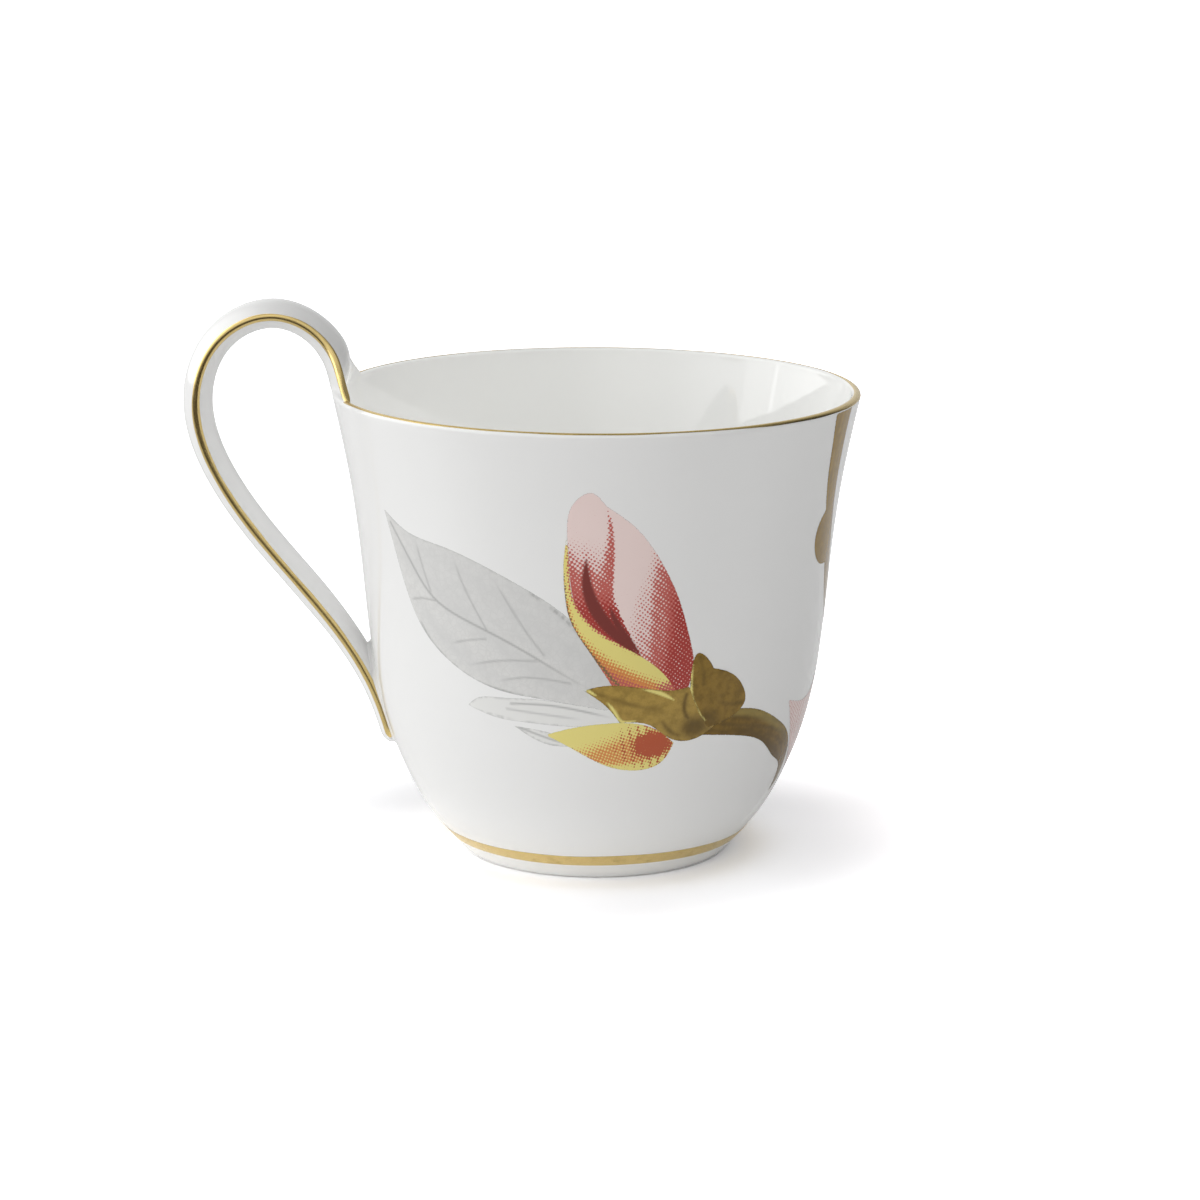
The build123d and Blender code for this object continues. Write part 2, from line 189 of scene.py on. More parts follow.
def half_thickness(d):
    root = 0.65 + 1.9 * np.sin(np.pi / 2 * np.clip(d / ROOT_LENGTH, 0, 1)) ** ROOT_POWER
    eased = root - 0.7 * np.clip(1 - (PATH_LENGTH - d) / 30, 0, 1)
    left = np.clip(1 - (PATH_LENGTH - d) / 2.4, 0, 1)
    return eased * (1 - left ** 2.2) ** (1 / 2.2)


def nose_radius(d):
    return np.minimum(0.7, 0.6 * half_thickness(d))


def set_back(y, d):
    """The strap's edges lie behind its middle near the lip, so that they follow the lip's circle."""
    return (LIP_RADIUS - np.sqrt(LIP_RADIUS**2 - np.minimum(np.abs(y), 20) ** 2)) * (1 - smooth(3.5, 36, d))


def face_height(v, d):
    power = 1.25 + 0.75 * (1 - smooth(2, 12, d))
    nose = nose_radius(d)
    return nose + (half_thickness(d) - nose) * (1 - np.abs(v) ** 2.2) ** power


def from_strap(d, y, q):
    """Point at distance d along the strap, y across it and q towards the finger hole."""
    ox, oz = np.interp(d, path_run, path[:, 0]), np.interp(d, path_run, path[:, 1])
    tx, tz = np.interp(d, path_run, path_tangent[:, 0]), np.interp(d, path_run, path_tangent[:, 1])
    return np.stack([ox - tz * q, y + 0 * ox, oz + tx * q], -1)


def strap_face(d, v, side):
    y = v * (half_width(d) - nose_radius(d))
    # on the outside the root is level with the bowl's wall
    flush = 0.22 * max(side, 0) * (1 - smooth(3, 9, d)) * (1 - v**2)
    return from_strap(d, y, side * face_height(v, d) + flush - set_back(y, d))


def strap_edge(d, turn, side):
    nose = nose_radius(d)
    y = half_width(d) - nose
    return from_strap(d, side * (y + nose * np.cos(turn)), nose * np.sin(turn) - set_back(y, d))


def strap_ring(d):
    """Closed ring of points round the strap at each distance d, shape (stations, points, 3)."""
    d = np.asarray(d, float)[:, None]
    v = np.sin(np.linspace(np.pi / 2, -np.pi / 2, 33))[1:-1][None]
    turn = np.linspace(np.pi / 2, -np.pi / 2, 11)[None]
    return np.concatenate([strap_face(d, v, 1), strap_edge(d, turn, -1), strap_face(d, -v, -1),
                           strap_edge(d, -turn, 1)], axis=1)


stations = np.r_[np.linspace(0, STRAP_START, 41), np.linspace(STRAP_START, 16, 50)[1:],
                 np.linspace(16, PATH_LENGTH - 5, 150)[1:],
                 PATH_LENGTH - 5 * (1 - np.sin(np.linspace(0, np.pi / 2, 34)))[1:-1], PATH_LENGTH - 0.002]
strap = strap_ring(stations)
strap_normals = grid_normals(strap, close_columns=True)
skin = np.r_[outer, arc(LIP_RADIUS, LIP_Z, LIP / 2, 0, 180, 60), inner]
skin_normal = unit(np.stack([np.gradient(skin[:, 1]), -np.gradient(skin[:, 0])], -1))
skin_normal[400:460] = unit(skin[400:460] - (LIP_RADIUS, LIP_Z))


def melted(points, normals, reach):
    """Normals that turn into the bowl's where the surface dips into it, as under a flow of glaze."""
    flat, out = points.reshape(-1, 3), normals.reshape(-1, 3).copy()
    reach = np.repeat(reach, points.shape[1])
    r = np.hypot(flat[:, 0], flat[:, 1])
    for lo in range(0, len(flat), 4000):
        part = slice(lo, lo + 4000)
        away = np.stack([r[part], flat[part, 2]], -1)[:, None] - skin[None, ::2]
        nearest = (away ** 2).sum(-1).argmin(1)
        towards = skin_normal[::2][nearest]
        height = (away[np.arange(len(nearest)), nearest] * towards).sum(-1)
        share = (1 - smooth(0.0, reach[part], height))[:, None]
        bowl_normal = np.c_[towards[:, :1] * flat[part, :2] / r[part, None], towards[:, 1:]]
        out[part] = unit(out[part] * (1 - share) + bowl_normal * share)
    return out.reshape(normals.shape)


strap_normals = melted(strap, strap_normals, 0.5 + 1.7 * smooth(22, 16, stations))
seam = 40                 # the row of the grid where the slip hands over to the strap


def strap_field(p):
    """Negative inside the strap; rises with distance from its surface. Used to find its footprint."""
    out = np.empty(len(p))
    for lo in range(0, len(p), 4000):
        part = p[lo:lo + 4000]
        near = (part[:, None, 0] - path[None, ::4, 0]) ** 2 + (part[:, None, 2] - path[None, ::4, 1]) ** 2
        i = near.argmin(1) * 4
        q = (part[:, 0] - path[i, 0]) * -path_tangent[i, 1] + (part[:, 2] - path[i, 1]) * path_tangent[i, 0]
        d, y = path_run[i], part[:, 1]
        nose, w = nose_radius(d), half_width(d)
        flat = w - nose
        inside = np.abs(y) <= flat
        tall = np.where(inside, face_height(np.clip(y / np.maximum(flat, 1e-6), -1, 1), d),
                        np.sqrt(np.maximum(nose**2 - np.maximum(np.abs(y) - flat, 0) ** 2, 0)))
        gap = np.abs(q + set_back(y, d)) - tall
        beyond = np.abs(y) - w
        along = np.where(i >= len(path) - 8, np.sqrt(near.min(1)) - 0.3, -1.0)
        out[lo:lo + 4000] = np.maximum(np.maximum(gap, beyond), along)
    return out


def lower_fillet():
    """Band of slip round the foot of the strap: it leaves the strap and runs out along the bowl."""
    turns = np.linspace(0, 2 * np.pi, 144, endpoint=False)
    reach = np.linspace(2.6, 0.25, 500)
    middle_z, half_height, lift, spread, sunk_by = 26.5, 9.0, 0.95, 1.5, 0.15

    def on_left(y, z, height):
        """Points on the wall under the strap, y to the side, and the normals there."""
        return on_wall((-np.pi / 2 - y / wall_radius(middle_z)) * DRAWING_RADIUS, z, height)

    side = STRAP_HALF_WIDTH * np.cos(turns)[:, None] * reach
    up = half_height * np.sin(turns)[:, None] * reach
    over, _ = on_left(side.ravel(), (middle_z + up).ravel(), lift)
    solid = (strap_field(over) < 0).reshape(side.shape)
    first = np.where(solid.any(1), solid.argmax(1), len(reach) - 1)
    scale = reach[first]
    for _ in range(2):
        scale = (np.roll(scale, 1) + 2 * scale + np.roll(scale, -1)) / 4
    y, z = STRAP_HALF_WIDTH * np.cos(turns) * scale, middle_z + half_height * np.sin(turns) * scale
    step = np.stack([np.roll(y, -1) - np.roll(y, 1), np.roll(z, -1) - np.roll(z, 1)], -1)
    away = unit(np.stack([step[:, 1], -step[:, 0]], -1))
    rows = []
    for t in np.linspace(0, 1, 13):
        # down the strap's side, then out along the wall
        height = lift * (1 - t) ** 2 + 0.01
        out = spread * t**2 - 0.12 * (1 - t) ** 2
        points, normals = on_left(y + away[:, 0] * out, z + away[:, 1] * out, 0)
        rows.append(points + normals * height)
    for out in (spread + sunk_by, -0.6):
        rows.append(on_left(y + away[:, 0] * out, z + away[:, 1] * out, -sunk_by)[0])
    return np.stack(rows, 0)


# ---------------------------------------------------------------- materials
class Nodes:
    """A node tree built by calls: add(kind, settings, inputs) returns the new node."""

    def __init__(self, tree):
        self.tree = tree
        tree.nodes.clear()

    def add(self, kind, settings=None, inputs=None):
        node = self.tree.nodes.new("ShaderNode" + kind)
        for key, value in (settings or {}).items():
            setattr(node, key, value)
        for key, value in (inputs or {}).items():
            if isinstance(value, bpy.types.NodeSocket):
                self.tree.links.new(value, node.inputs[key])
            else:
                node.inputs[key].default_value = value
        return node

    def math(self, operation, a, b=0.0, c=0.0):
        return self.add("Math", {"operation": operation}, {0: a, 1: b, 2: c}).outputs[0]

    def times(self, a, b):
        return self.math("MULTIPLY", a, b)

    def times_plus(self, a, b, c):
        return self.math("MULTIPLY_ADD", a, b, c)

    def mix(self, factor, a, b):
        return self.add("Mix", {"data_type": "RGBA"}, {0: factor, 6: a, 7: b}).outputs[2]

    def split(self, vector):
        return self.add("SeparateXYZ", None, {0: vector}).outputs

    def ray(self, kind):
        return self.add("LightPath").outputs[f"Is {kind} Ray"]

    def value(self, name):
        return self.add("Attribute", {"attribute_name": name}).outputs["Fac"]

    def vector(self, name):
        return self.add("Attribute", {"attribute_name": name}).outputs["Vector"]

    def scaled(self, vector, size, turn=0.0):
        return self.add("Mapping", None, {"Vector": vector, "Scale": size,
                                          "Rotation": (0, 0, turn)}).outputs[0]

    def noise(self, vector, scale, detail=2.0, rough=0.5):
        return self.add("TexNoise", None, {"Vector": vector, "Scale": scale, "Detail": detail,
                                           "Roughness": rough}).outputs["Fac"]

    def ramp(self, factor, low, high):
        return self.add("MapRange", {"interpolation_type": "SMOOTHSTEP"},
                        {"Value": factor, "From Min": low, "From Max": high}).outputs[0]

    def position(self):
        return self.add("NewGeometry").outputs["Position"]

    def finish(self, shader):
        self.add("OutputMaterial", None, {"Surface": shader})


def material(name, viewport):
    m = bpy.data.materials.new(name)
    m.use_nodes = True
    m.diffuse_color = (*viewport, 1)
    return m, Nodes(m.node_tree)


CHINA = (0.865, 0.865, 0.862, 1)


def glaze(n, colour, rough=None, painted_glow=0.0, cover=1.0, ior=1.52):
    """Clear glossy glaze over a colour: the finish of the china and of every print on it."""
    p = n.position()
    if rough is None:
        rough = n.times_plus(n.noise(p, 55, 2), 0.03, 0.022)
    height = n.noise(p, 130, 1)
    soft = n.add("Bump", None, {"Strength": 0.05, "Distance": 0.0006, "Height": height}).outputs[0]
    # The emission is painted light: a warm glowing given only where the china is inside the bowl, the strap's
    # root at the lip included.
    n.finish(n.add("BsdfPrincipled", None, {
        "Base Color": colour, "Roughness": rough, "IOR": ior, "Normal": soft, "Alpha": cover,
        "Emission Color": (1.0, 0.995, 0.97, 1), "Emission Strength": painted_glow}).outputs[0])


def china(name):
    """White bone china with painted light inside the bowl, a lighter colour and a faint emission; its ground
    foot ring is bare of glaze.
    """
    m, n = material(name, CHINA[:3])
    p = n.position()
    x, _, z = n.split(p)
    glazed = n.ramp(n.times_plus(n.noise(p, 900, 3), 0.0001, z), 0.00018, 0.00030)
    bare = n.math("SUBTRACT", 1.0, glazed)
    white = n.mix(n.times(n.noise(p, 28, 3), 0.5), CHINA, (0.85, 0.85, 0.84, 1))
    # Painted light: inside the bowl the china is painted a lighter white, lightest on the left side, standing
    # in for daylight from the left.
    painted_light_inside = n.mix(n.ramp(x, -0.005, 0.035), (0.955, 0.957, 0.935, 1), (0.83, 0.832, 0.82, 1))
    white = n.mix(n.value("inside"), white, painted_light_inside)
    speck = n.ramp(n.noise(p, 5200, 2), 0.60, 0.75)
    body = n.mix(n.times(speck, 0.35), (0.78, 0.765, 0.73, 1), (0.60, 0.58, 0.54, 1))
    colour = n.mix(bare, white, body)
    rough = n.times_plus(bare, 0.5, n.times_plus(n.noise(p, 55, 2), 0.03, 0.022))
    # Painted light: the inside of the bowl is given an emission on the left, standing in for daylight from
    # the left that passes the thin wall on that side.
    through = n.times(n.ramp(x, 0.0, -0.044), 0.19)
    glaze(n, colour, rough, n.times(n.value("inside"), through))
    return m


def gold(name, bright=1.0):
    """Burnished gold, brushed on by hand: faint streaks along the line and a slightly uneven film."""
    m, n = material(name, (0.75, 0.55, 0.2))
    along = n.vector("film")
    streak = n.noise(n.scaled(along, (0.25, 9.0, 1)), 1.4, 3, 0.6)
    patch = n.noise(n.position(), 420, 3)
    colour = n.mix(streak, (0.60, 0.43, 0.15, 1), (0.80, 0.64, 0.30, 1))
    colour = n.mix(n.times(n.ramp(patch, 0.5, 0.75), 0.35), colour, (0.47, 0.33, 0.12, 1))
    colour = n.mix(1 - bright, colour, (0.05, 0.04, 0.01, 1))
    rough = n.times_plus(streak, 0.16, n.times_plus(patch, 0.10, 0.12))
    uneven = n.math("ADD", streak, patch)
    bump = n.add("Bump", None, {"Strength": 0.12, "Distance": 0.00005, "Height": uneven}).outputs[0]
    n.finish(n.add("BsdfPrincipled", None, {"Base Color": colour, "Metallic": 1.0, "Roughness": rough,
                                            "Normal": bump}).outputs[0])
    return m


def screen(n, pitch, turn):
    """Value between 0 and 1 of a litho dot screen: printed where the ink density is above it."""
    p = n.vector("film")
    wobble = n.add("TexNoise", None, {"Vector": p, "Scale": 0.7, "Detail": 2.0}).outputs["Color"]
    p = n.add("VectorMath", {"operation": "MULTIPLY_ADD"}, {0: wobble, 1: (0.5, 0.5, 0), 2: p}).outputs[0]
    p = n.scaled(p, (2 * math.pi / pitch, 2 * math.pi / pitch, 1), turn)
    x, y, _ = n.split(p)
    waves = n.math("ADD", n.math("SINE", x), n.math("SINE", y))
    grain = n.noise(n.vector("film"), 3.2, 2)
    return n.math("ADD", n.times_plus(waves, 0.2, 0.32), n.times(grain, 0.36))


def printed(name, base, inks, outline=None, mottle=0.0, veined=False):
    """A fired print: a base colour, then inks as (attribute, colour, screen pitch or 0 for solid, turn)."""
    def darker(share):
        return tuple(c * (1 - share) for c in base) + (1,)

    m, n = material(name, base)
    film = n.vector("film")
    colour = n.add("RGB").outputs[0]
    colour.default_value = (*base, 1)
    if mottle:
        blot = n.noise(film, 0.55, 4, 0.65)
        colour = n.mix(n.ramp(blot, 0.38, 0.66), colour, darker(mottle))
        fine = n.noise(film, 4.0, 3, 0.7)
        colour = n.mix(n.times(n.ramp(fine, 0.45, 0.65), 0.5), colour, darker(0.8 * mottle))
    if veined:
        cells = n.add("TexVoronoi", {"feature": "DISTANCE_TO_EDGE"}, {"Vector": film, "Scale": 0.85})
        colour = n.mix(n.times(n.ramp(cells.outputs["Distance"], 0.10, 0.0), 0.5), colour, darker(0.12))
    for key, ink, pitch, turn in inks:
        density = n.value(key)
        if pitch:
            over = n.math("SUBTRACT", density, screen(n, pitch, turn))
            density = n.ramp(over, -0.10, 0.10)
        colour = n.mix(density, colour, (*ink, 1))
    edge = n.value("edge")
    if outline:
        pencil = n.ramp(n.noise(film, 1.1, 3, 0.7), 0.42, 0.62)
        colour = n.mix(n.times(edge, pencil), colour, (*outline, 1))
    fringe = n.math("ADD", n.noise(film, 3.0, 3, 0.65), 0.44)
    glaze(n, colour, cover=n.ramp(n.math("SUBTRACT", fringe, edge), -0.10, 0.12), ior=1.33)
    return m


# ---------------------------------------------------------------- outlines of the prints
# Each outline is a list of runs of (distance round the cup from the front, height), as in the CAD.
CALYX = [[(-2.0, 37.4), (1.0, 38.2), (5.4, 38.1), (9.6, 37.0), (12.6, 35.4)],
         [(12.6, 35.4), (14.2, 36.4), (15.8, 36.4)],
         [(15.8, 36.4), (17.6, 33.2), (20.6, 30.2)],
         [(20.6, 30.2), (17.2, 27.6), (13.6, 28.2), (9.4, 31.0), (4.2, 31.6)],
         [(4.2, 31.6), (2.0, 34.4), (-2.0, 37.4)]]
SEPAL = [[(-4.5, 64.6), (-5.1, 59.6), (-5.0, 54.4), (-4.2, 49.8), (-1.3, 44.6), (4.2, 37.9)],
         [(4.2, 37.9), (9.6, 36.7), (12.4, 35.2), (13.9, 36.1)],
         [(13.9, 36.1), (11.6, 40.0), (4.8, 45.0), (-0.6, 48.8), (-3.6, 53.4), (-4.2, 58.8), (-4.5, 64.6)]]
BUD = [[(-4.3, 61.5), (-4.4, 66.8), (-3.2, 70.3), (-0.8, 71.9), (1.6, 69.6)],
       [(1.6, 69.6), (6.0, 66.0), (10.3, 60.0), (13.8, 52.8), (16.0, 45.8), (16.9, 40.4), (15.7, 36.2)],
       [(15.7, 36.2), (12.6, 37.4), (8.0, 41.6), (2.4, 45.8), (-2.0, 50.2), (-4.3, 61.5)]]
BRACT = [[(16.5, 36.8), (16.6, 40.6), (17.7, 43.2), (19.4, 42.2), (20.8, 40.2)],
         [(20.8, 40.2), (24.2, 39.0), (27.4, 36.0), (28.2, 33.4), (25.8, 31.0), (20.6, 29.6)],
         [(20.6, 29.6), (18.6, 32.4), (16.5, 36.8)]]
TWIG = [[(24.0, 32.4), (31.2, 31.4), (38.0, 28.4), (44.4, 24.4), (48.2, 19.6), (49.8, 14.4)],
        [(49.8, 14.4), (47.6, 12.6)],
        [(47.6, 12.6), (45.8, 17.8), (40.6, 20.8), (35.0, 24.6), (28.0, 27.0), (20.0, 28.0)],
        [(20.0, 28.0), (24.0, 32.4)]]
SMALL_BUD = [[(-8.8, 29.2), (-4.2, 30.6), (1.6, 31.5), (7.4, 31.3), (11.6, 29.6), (14.2, 27.4)],
             [(14.2, 27.4), (12.4, 24.2), (7.0, 22.7), (1.2, 24.0), (-4.4, 27.0), (-8.8, 29.2)]]
LARGE_LEAF = [[(-39.8, 65.0), (-33.8, 62.0), (-26.6, 60.7), (-19.0, 58.4), (-11.6, 54.9), (-5.4, 49.6),
               (-0.8, 43.4), (3.8, 38.4)],
              [(3.8, 38.4), (-2.0, 36.6), (1.4, 33.8)],
              [(1.4, 33.8), (-8.4, 35.5), (-17.4, 36.7), (-25.6, 40.0), (-32.4, 45.6), (-36.8, 54.4),
               (-39.8, 65.0)]]
LOWER_LEAF = [[(-14.4, 30.4), (-10.2, 30.0), (-6.6, 29.2), (-3.0, 27.4)],
              [(-3.0, 27.4), (-8.2, 27.4), (-14.4, 30.4)]]
BRANCH = [[(43.6, 80.2), (50.0, 80.2)],
          [(50.0, 80.2), (50.2, 73.4), (51.2, 66.0), (54.2, 56.4), (57.8, 48.4), (61.5, 43.4)],
          [(61.5, 43.4), (58.6, 41.6)],
          [(58.6, 41.6), (54.8, 45.8), (51.0, 53.6)],
          [(51.0, 53.6), (47.4, 54.2), (44.3, 57.8), (44.7, 61.2), (47.2, 63.6)],
          [(47.2, 63.6), (45.2, 70.4), (44.4, 75.6), (43.6, 80.2)]]
BLOOM_FRONT = [[(41.4, 31.0), (50.0, 29.6), (58.4, 33.2), (64.6, 38.4), (70.0, 38.6)],
               [(70.0, 38.6), (67.0, 29.8), (60.4, 21.4), (52.6, 16.2)],
               [(52.6, 16.2), (46.8, 22.6), (41.4, 31.0)]]
BLOOM_BACK = [[(70.0, 38.6), (64.2, 46.4), (63.6, 56.0), (69.0, 64.4), (76.4, 60.0)],
              [(76.4, 60.0), (86.2, 62.4), (96.8, 56.6), (98.2, 46.0)],
              [(98.2, 46.0), (99.8, 35.2), (92.8, 25.4), (83.0, 23.6)],
              [(83.0, 23.6), (74.4, 19.0), (66.6, 20.6), (63.6, 25.2)],
              [(63.6, 25.2), (67.0, 29.8), (70.0, 38.6)]]
BLOOM_HEART = [[(74.2, 44.2), (78.0, 49.2), (83.6, 48.8), (86.4, 43.8), (83.8, 37.4), (78.0, 35.4),
                (73.8, 38.8), (74.2, 44.2)]]
BACK_LEAF = [[(95.0, 30.4), (104.4, 35.4), (115.2, 45.8), (121.0, 59.8)],
             [(121.0, 59.8), (123.6, 46.0), (119.6, 32.4), (108.0, 23.8), (94.6, 25.0)],
             [(94.6, 25.0), (95.0, 30.4)]]


def traced(runs, step):
    """The outline as a closed polygon with points about a step apart."""
    points = []
    for run in runs:
        run = np.array(run, float)
        count = max(3, int(np.linalg.norm(np.diff(run, axis=0), axis=1).sum() / step) + 2)
        line = natural_spline(run, count)
        points.append(line[:-1])
    return np.concatenate(points)


def to_line(p, line):
    """Distance of points from a polyline, the share of its length at the nearest point, and the side."""
    line = np.asarray(line, float)
    a, b = line[:-1], line[1:]
    run = np.r_[0, np.cumsum(np.linalg.norm(b - a, axis=1))]
    best = np.full(len(p), 1e9)
    share, side = np.zeros(len(p)), np.ones(len(p))
    for k in range(len(a)):
        ab, ap = b[k] - a[k], p - a[k]
        t = np.clip(ap @ ab / max(ab @ ab, 1e-12), 0, 1)
        d = np.linalg.norm(ap - t[:, None] * ab, axis=1)
        near = d < best
        best[near] = d[near]
        share[near] = (run[k] + t[near] * (run[k + 1] - run[k])) / run[-1]
        side[near] = np.sign(ab[0] * ap[near, 1] - ab[1] * ap[near, 0])
    return best, share, side


def to_curve(p, points, count=40):
    return to_line(p, natural_spline(points, count))


def inside(p, polygon):
    x, y = p[:, 0], p[:, 1]
    found = np.zeros(len(p), bool)
    x0, y0 = polygon[:, 0], polygon[:, 1]
    x1, y1 = np.roll(x0, -1), np.roll(y0, -1)
    for k in range(len(polygon)):
        cross = (y0[k] > y) != (y1[k] > y)
        if y1[k] != y0[k]:
            found ^= cross & (x < (x1[k] - x0[k]) * (y - y0[k]) / (y1[k] - y0[k]) + x0[k])
    return found


def stroke(p, points, width, soft=0.15):
    """Density of a brush stroke that is widest in its middle and pointed at both ends."""
    d, t, _ = to_curve(p, points)
    half = width * np.sin(np.pi * np.clip(t, 0.02, 0.98)) ** 0.7
    return 1 - smooth(-soft, soft, d - half)


def pencil(p, lines, width=0.22):
    """Density of thin pencil lines that fade towards their ends."""
    total = np.zeros(len(p))
    for points, weight in lines:
        d, t, _ = to_curve(p, points)
        total = np.maximum(total, weight * (1 - smooth(0, width + 0.2, d)) * smooth(1.02, 0.7, t))
    return total


def transfer(name, runs, spacing, lift, finish, inks, ragged):
    """One fired print: a fine closed film that hugs the wall, with the ink densities at its points."""
    outline = traced(runs, spacing)
    lo, hi = outline.min(0), outline.max(0)
    row = np.arange(lo[0], hi[0], spacing)
    grid = np.concatenate([np.stack([row + (i % 2) * spacing / 2, 0 * row + z], -1)
                           for i, z in enumerate(np.arange(lo[1], hi[1], spacing * 0.87))])
    grid = grid[inside(grid, outline)]
    closed = np.r_[outline, outline[:1]]
    grid = grid[to_line(grid, closed)[0] > spacing * 0.55]
    n = len(outline)
    flat = [Vector(q) for q in np.r_[outline, grid]]
    found = delaunay_2d_cdt(flat, [(i, (i + 1) % n) for i in range(n)], [], 1, 1e-7)
    p, faces = np.array([tuple(v) for v in found[0]]), [list(f) for f in found[2]]
    size = np.array([np.cross(p[f[1]] - p[f[0]], p[f[2]] - p[f[0]]) for f in faces])
    faces = [f if s > 0 else f[::-1] for f, s in zip(faces, size)]
    rim, _, _ = to_line(p, closed)
    top, normals = on_wall(p[:, 0], p[:, 1], lift)
    under, _ = on_wall(p[:, 0], p[:, 1], -SUNK)
    count = len(p)
    seen = dict.fromkeys(side for f in faces for side in zip(f, f[1:] + f[:1]))
    sides = [(a, a + count, b + count, b) for a, b in seen if (b, a) not in seen]
    faces = faces + [tuple(i + count for i in f[::-1]) for f in faces] + sides
    floats = {key: np.tile(np.clip(values, 0, 1), 2) for key, values in inks(p, rim).items()}
    floats["edge"] = np.tile(1 - smooth(0.0, ragged, rim), 2)
    film = np.tile(np.c_[p, np.zeros(count)], (2, 1))
    make_mesh(name + "_print", name, finish, np.r_[top, under], faces, np.r_[normals, -normals], floats, film)


# ---------------------------------------------------------------- ink densities of each print
def beside(p, points):
    """Signed distance from a curve: positive on its left when going along it."""
    d, _, side = to_curve(p, points, 60)
    return d * side


def bud_inks(p, rim):
    a, z = p[:, 0], p[:, 1]
    past = beside(p, [(1.9, 71.5), (2.3, 68.6), (2.9, 65.4), (3.2, 61.0), (3.1, 56.6), (3.2, 53.4),
                      (4.4, 49.8), (8.0, 42.5)])
    left, near = past < 0, np.abs(past)
    shade = beside(p, [(8.2, 65.6), (8.8, 61.0), (8.0, 57.4), (6.8, 54.2), (5.8, 50.6), (4.9, 46.6),
                       (3.8, 41.6)])
    reach = 2.0 + 4.6 * smooth(60, 47, z)
    right_red = smooth(-0.9, 0.9, shade) * (0.24 + 0.62 * smooth(0.2, reach + 1.2, shade))
    right_red *= smooth(66.4, 61.8, z)
    right_red = np.maximum(right_red, 0.86 * smooth(46, 39.0, z))
    left_red = 0.86 * (1 - smooth(0.35, 1.0 + 3.6 * smooth(68, 56, z), near)) * smooth(70, 66.5, z)
    left_red = np.maximum(left_red, 0.88 * smooth(65.5, 53.5, z + 0.30 * a))
    red = np.where(left, left_red * smooth(0.0, 0.5, near), right_red)
    mottled = np.sin(2.3 * (a + 0.5 * z)) * np.sin(1.1 * z)
    red = red + 0.13 * mottled * smooth(0.1, 0.5, red) * smooth(1.0, 0.75, red)
    right_deep = 0.70 * smooth(0.55, 1.0, shade / (reach + 2.6)) * smooth(60, 50, z)
    deep = np.where(left, 0.80 * smooth(56.5, 50, z), right_deep)
    deep = np.maximum(deep, 0.55 * smooth(42.5, 38.5, z))
    crease = stroke(p, [(-1.5, 60.2), (-1.5, 56.6), (-0.6, 52.9), (1.9, 48.8), (6.8, 43.8)], 1.08, 0.22)
    short = stroke(p, [(2.3, 52.0), (3.4, 49.3), (4.9, 46.9), (7.4, 43.6)], 0.62, 0.2)
    return {"red": red, "deep": deep, "crease": np.maximum(crease, short)}


def sepal_inks(p, rim):
    a, z = p[:, 0], p[:, 1]
    low = beside(p, [(-4.6, 64.0), (-5.1, 59.6), (-5.0, 54.4), (-4.2, 49.8), (-1.3, 44.6), (4.2, 37.9)])
    below = -beside(p, [(-3.2, 48.4), (-1.6, 46.5), (0.6, 44.4), (3.2, 42.6), (5.9, 41.1), (8.6, 39.8),
                        (13.0, 37.9)])
    orange = 0.90 * smooth(-1.1, 1.9, below) * smooth(49.5, 46.0, z)
    orange = np.maximum(orange, 0.62 * (1 - smooth(0.1, 1.1, np.abs(low))) * smooth(61, 50, z))
    red = 0.70 * smooth(0.6, 2.9, below) * smooth(47.5, 43.0, z)
    red = np.maximum(red, 0.78 * smooth(8.0, 12.5, a) * smooth(39.6, 37.6, z))
    high = beside(p, [(13.9, 36.1), (11.6, 40.0), (4.8, 45.0), (-0.6, 48.8), (-3.6, 53.4), (-4.2, 58.8),
                      (-4.4, 64.6)])
    red = np.maximum(red, 0.6 * (1 - smooth(0.1, 0.75, np.abs(high))) * smooth(41, 47, z) * smooth(66, 60, z))
    speck = 0.75 * (1 - smooth(0.1, 0.45, np.abs(low))) * smooth(62, 54, z)
    return {"orange": orange, "red": red, "speck": speck}


def small_bud_inks(p, rim):
    a, z = p[:, 0], p[:, 1]
    patch = np.hypot((a - 10.2) / 4.2, (z - 27.4) / 2.9)
    below = -beside(p, [(-6.8, 27.0), (-4.0, 27.7), (-0.4, 29.0), (4.4, 30.6), (8.0, 31.4)])
    orange = 0.66 * smooth(-0.5, 3.6, below) * smooth(0.1, 1.6, z - 22.9 - 0.02 * (a - 4) ** 2)
    red = 0.97 * (1 - smooth(0.62, 1.12, patch + 0.07 * np.sin(3.1 * a)))
    ray = (0.80 - 0.18 * patch) * (0.5 + 0.5 * np.sin(4.1 * a + 0.7 * z)) * smooth(2.1, 1.2, patch)
    speck = 0.25 * (1 - smooth(0.1, 0.3, rim)) * (z < 27)
    return {"orange": orange, "red": np.maximum(red, ray), "speck": speck}


def calyx_inks(p, rim):
    a, z = p[:, 0], p[:, 1]
    node = np.hypot((a - 17.9) / 3.8, (z - 30.0) / 2.6)
    dark = 0.8 * (1 - smooth(0.25, 1.15, node))
    dark = np.maximum(dark, pencil(p, [([(15.9, 36.0), (15.6, 33.8), (16.4, 31.9), (17.9, 30.9)], 0.75),
                                       ([(-1.0, 37.3), (3.2, 35.8), (8.4, 34.2), (12.4, 33.6)], 0.35),
                                       ([(11.8, 31.4), (13.6, 29.4), (16.6, 28.5)], 0.55)], 0.5))
    sliver = np.maximum(stroke(p, [(8.0, 37.5), (10.9, 36.7), (13.7, 35.2)], 0.34, 0.12),
                        stroke(p, [(1.9, 35.4), (3.3, 33.5), (4.3, 31.9), (7.0, 31.9)], 0.36, 0.12))
    sliver = np.maximum(sliver, stroke(p, [(-1.9, 37.9), (-0.9, 37.2), (0.2, 36.5)], 0.24, 0.1))
    return {"dark": dark, "sliver": sliver}


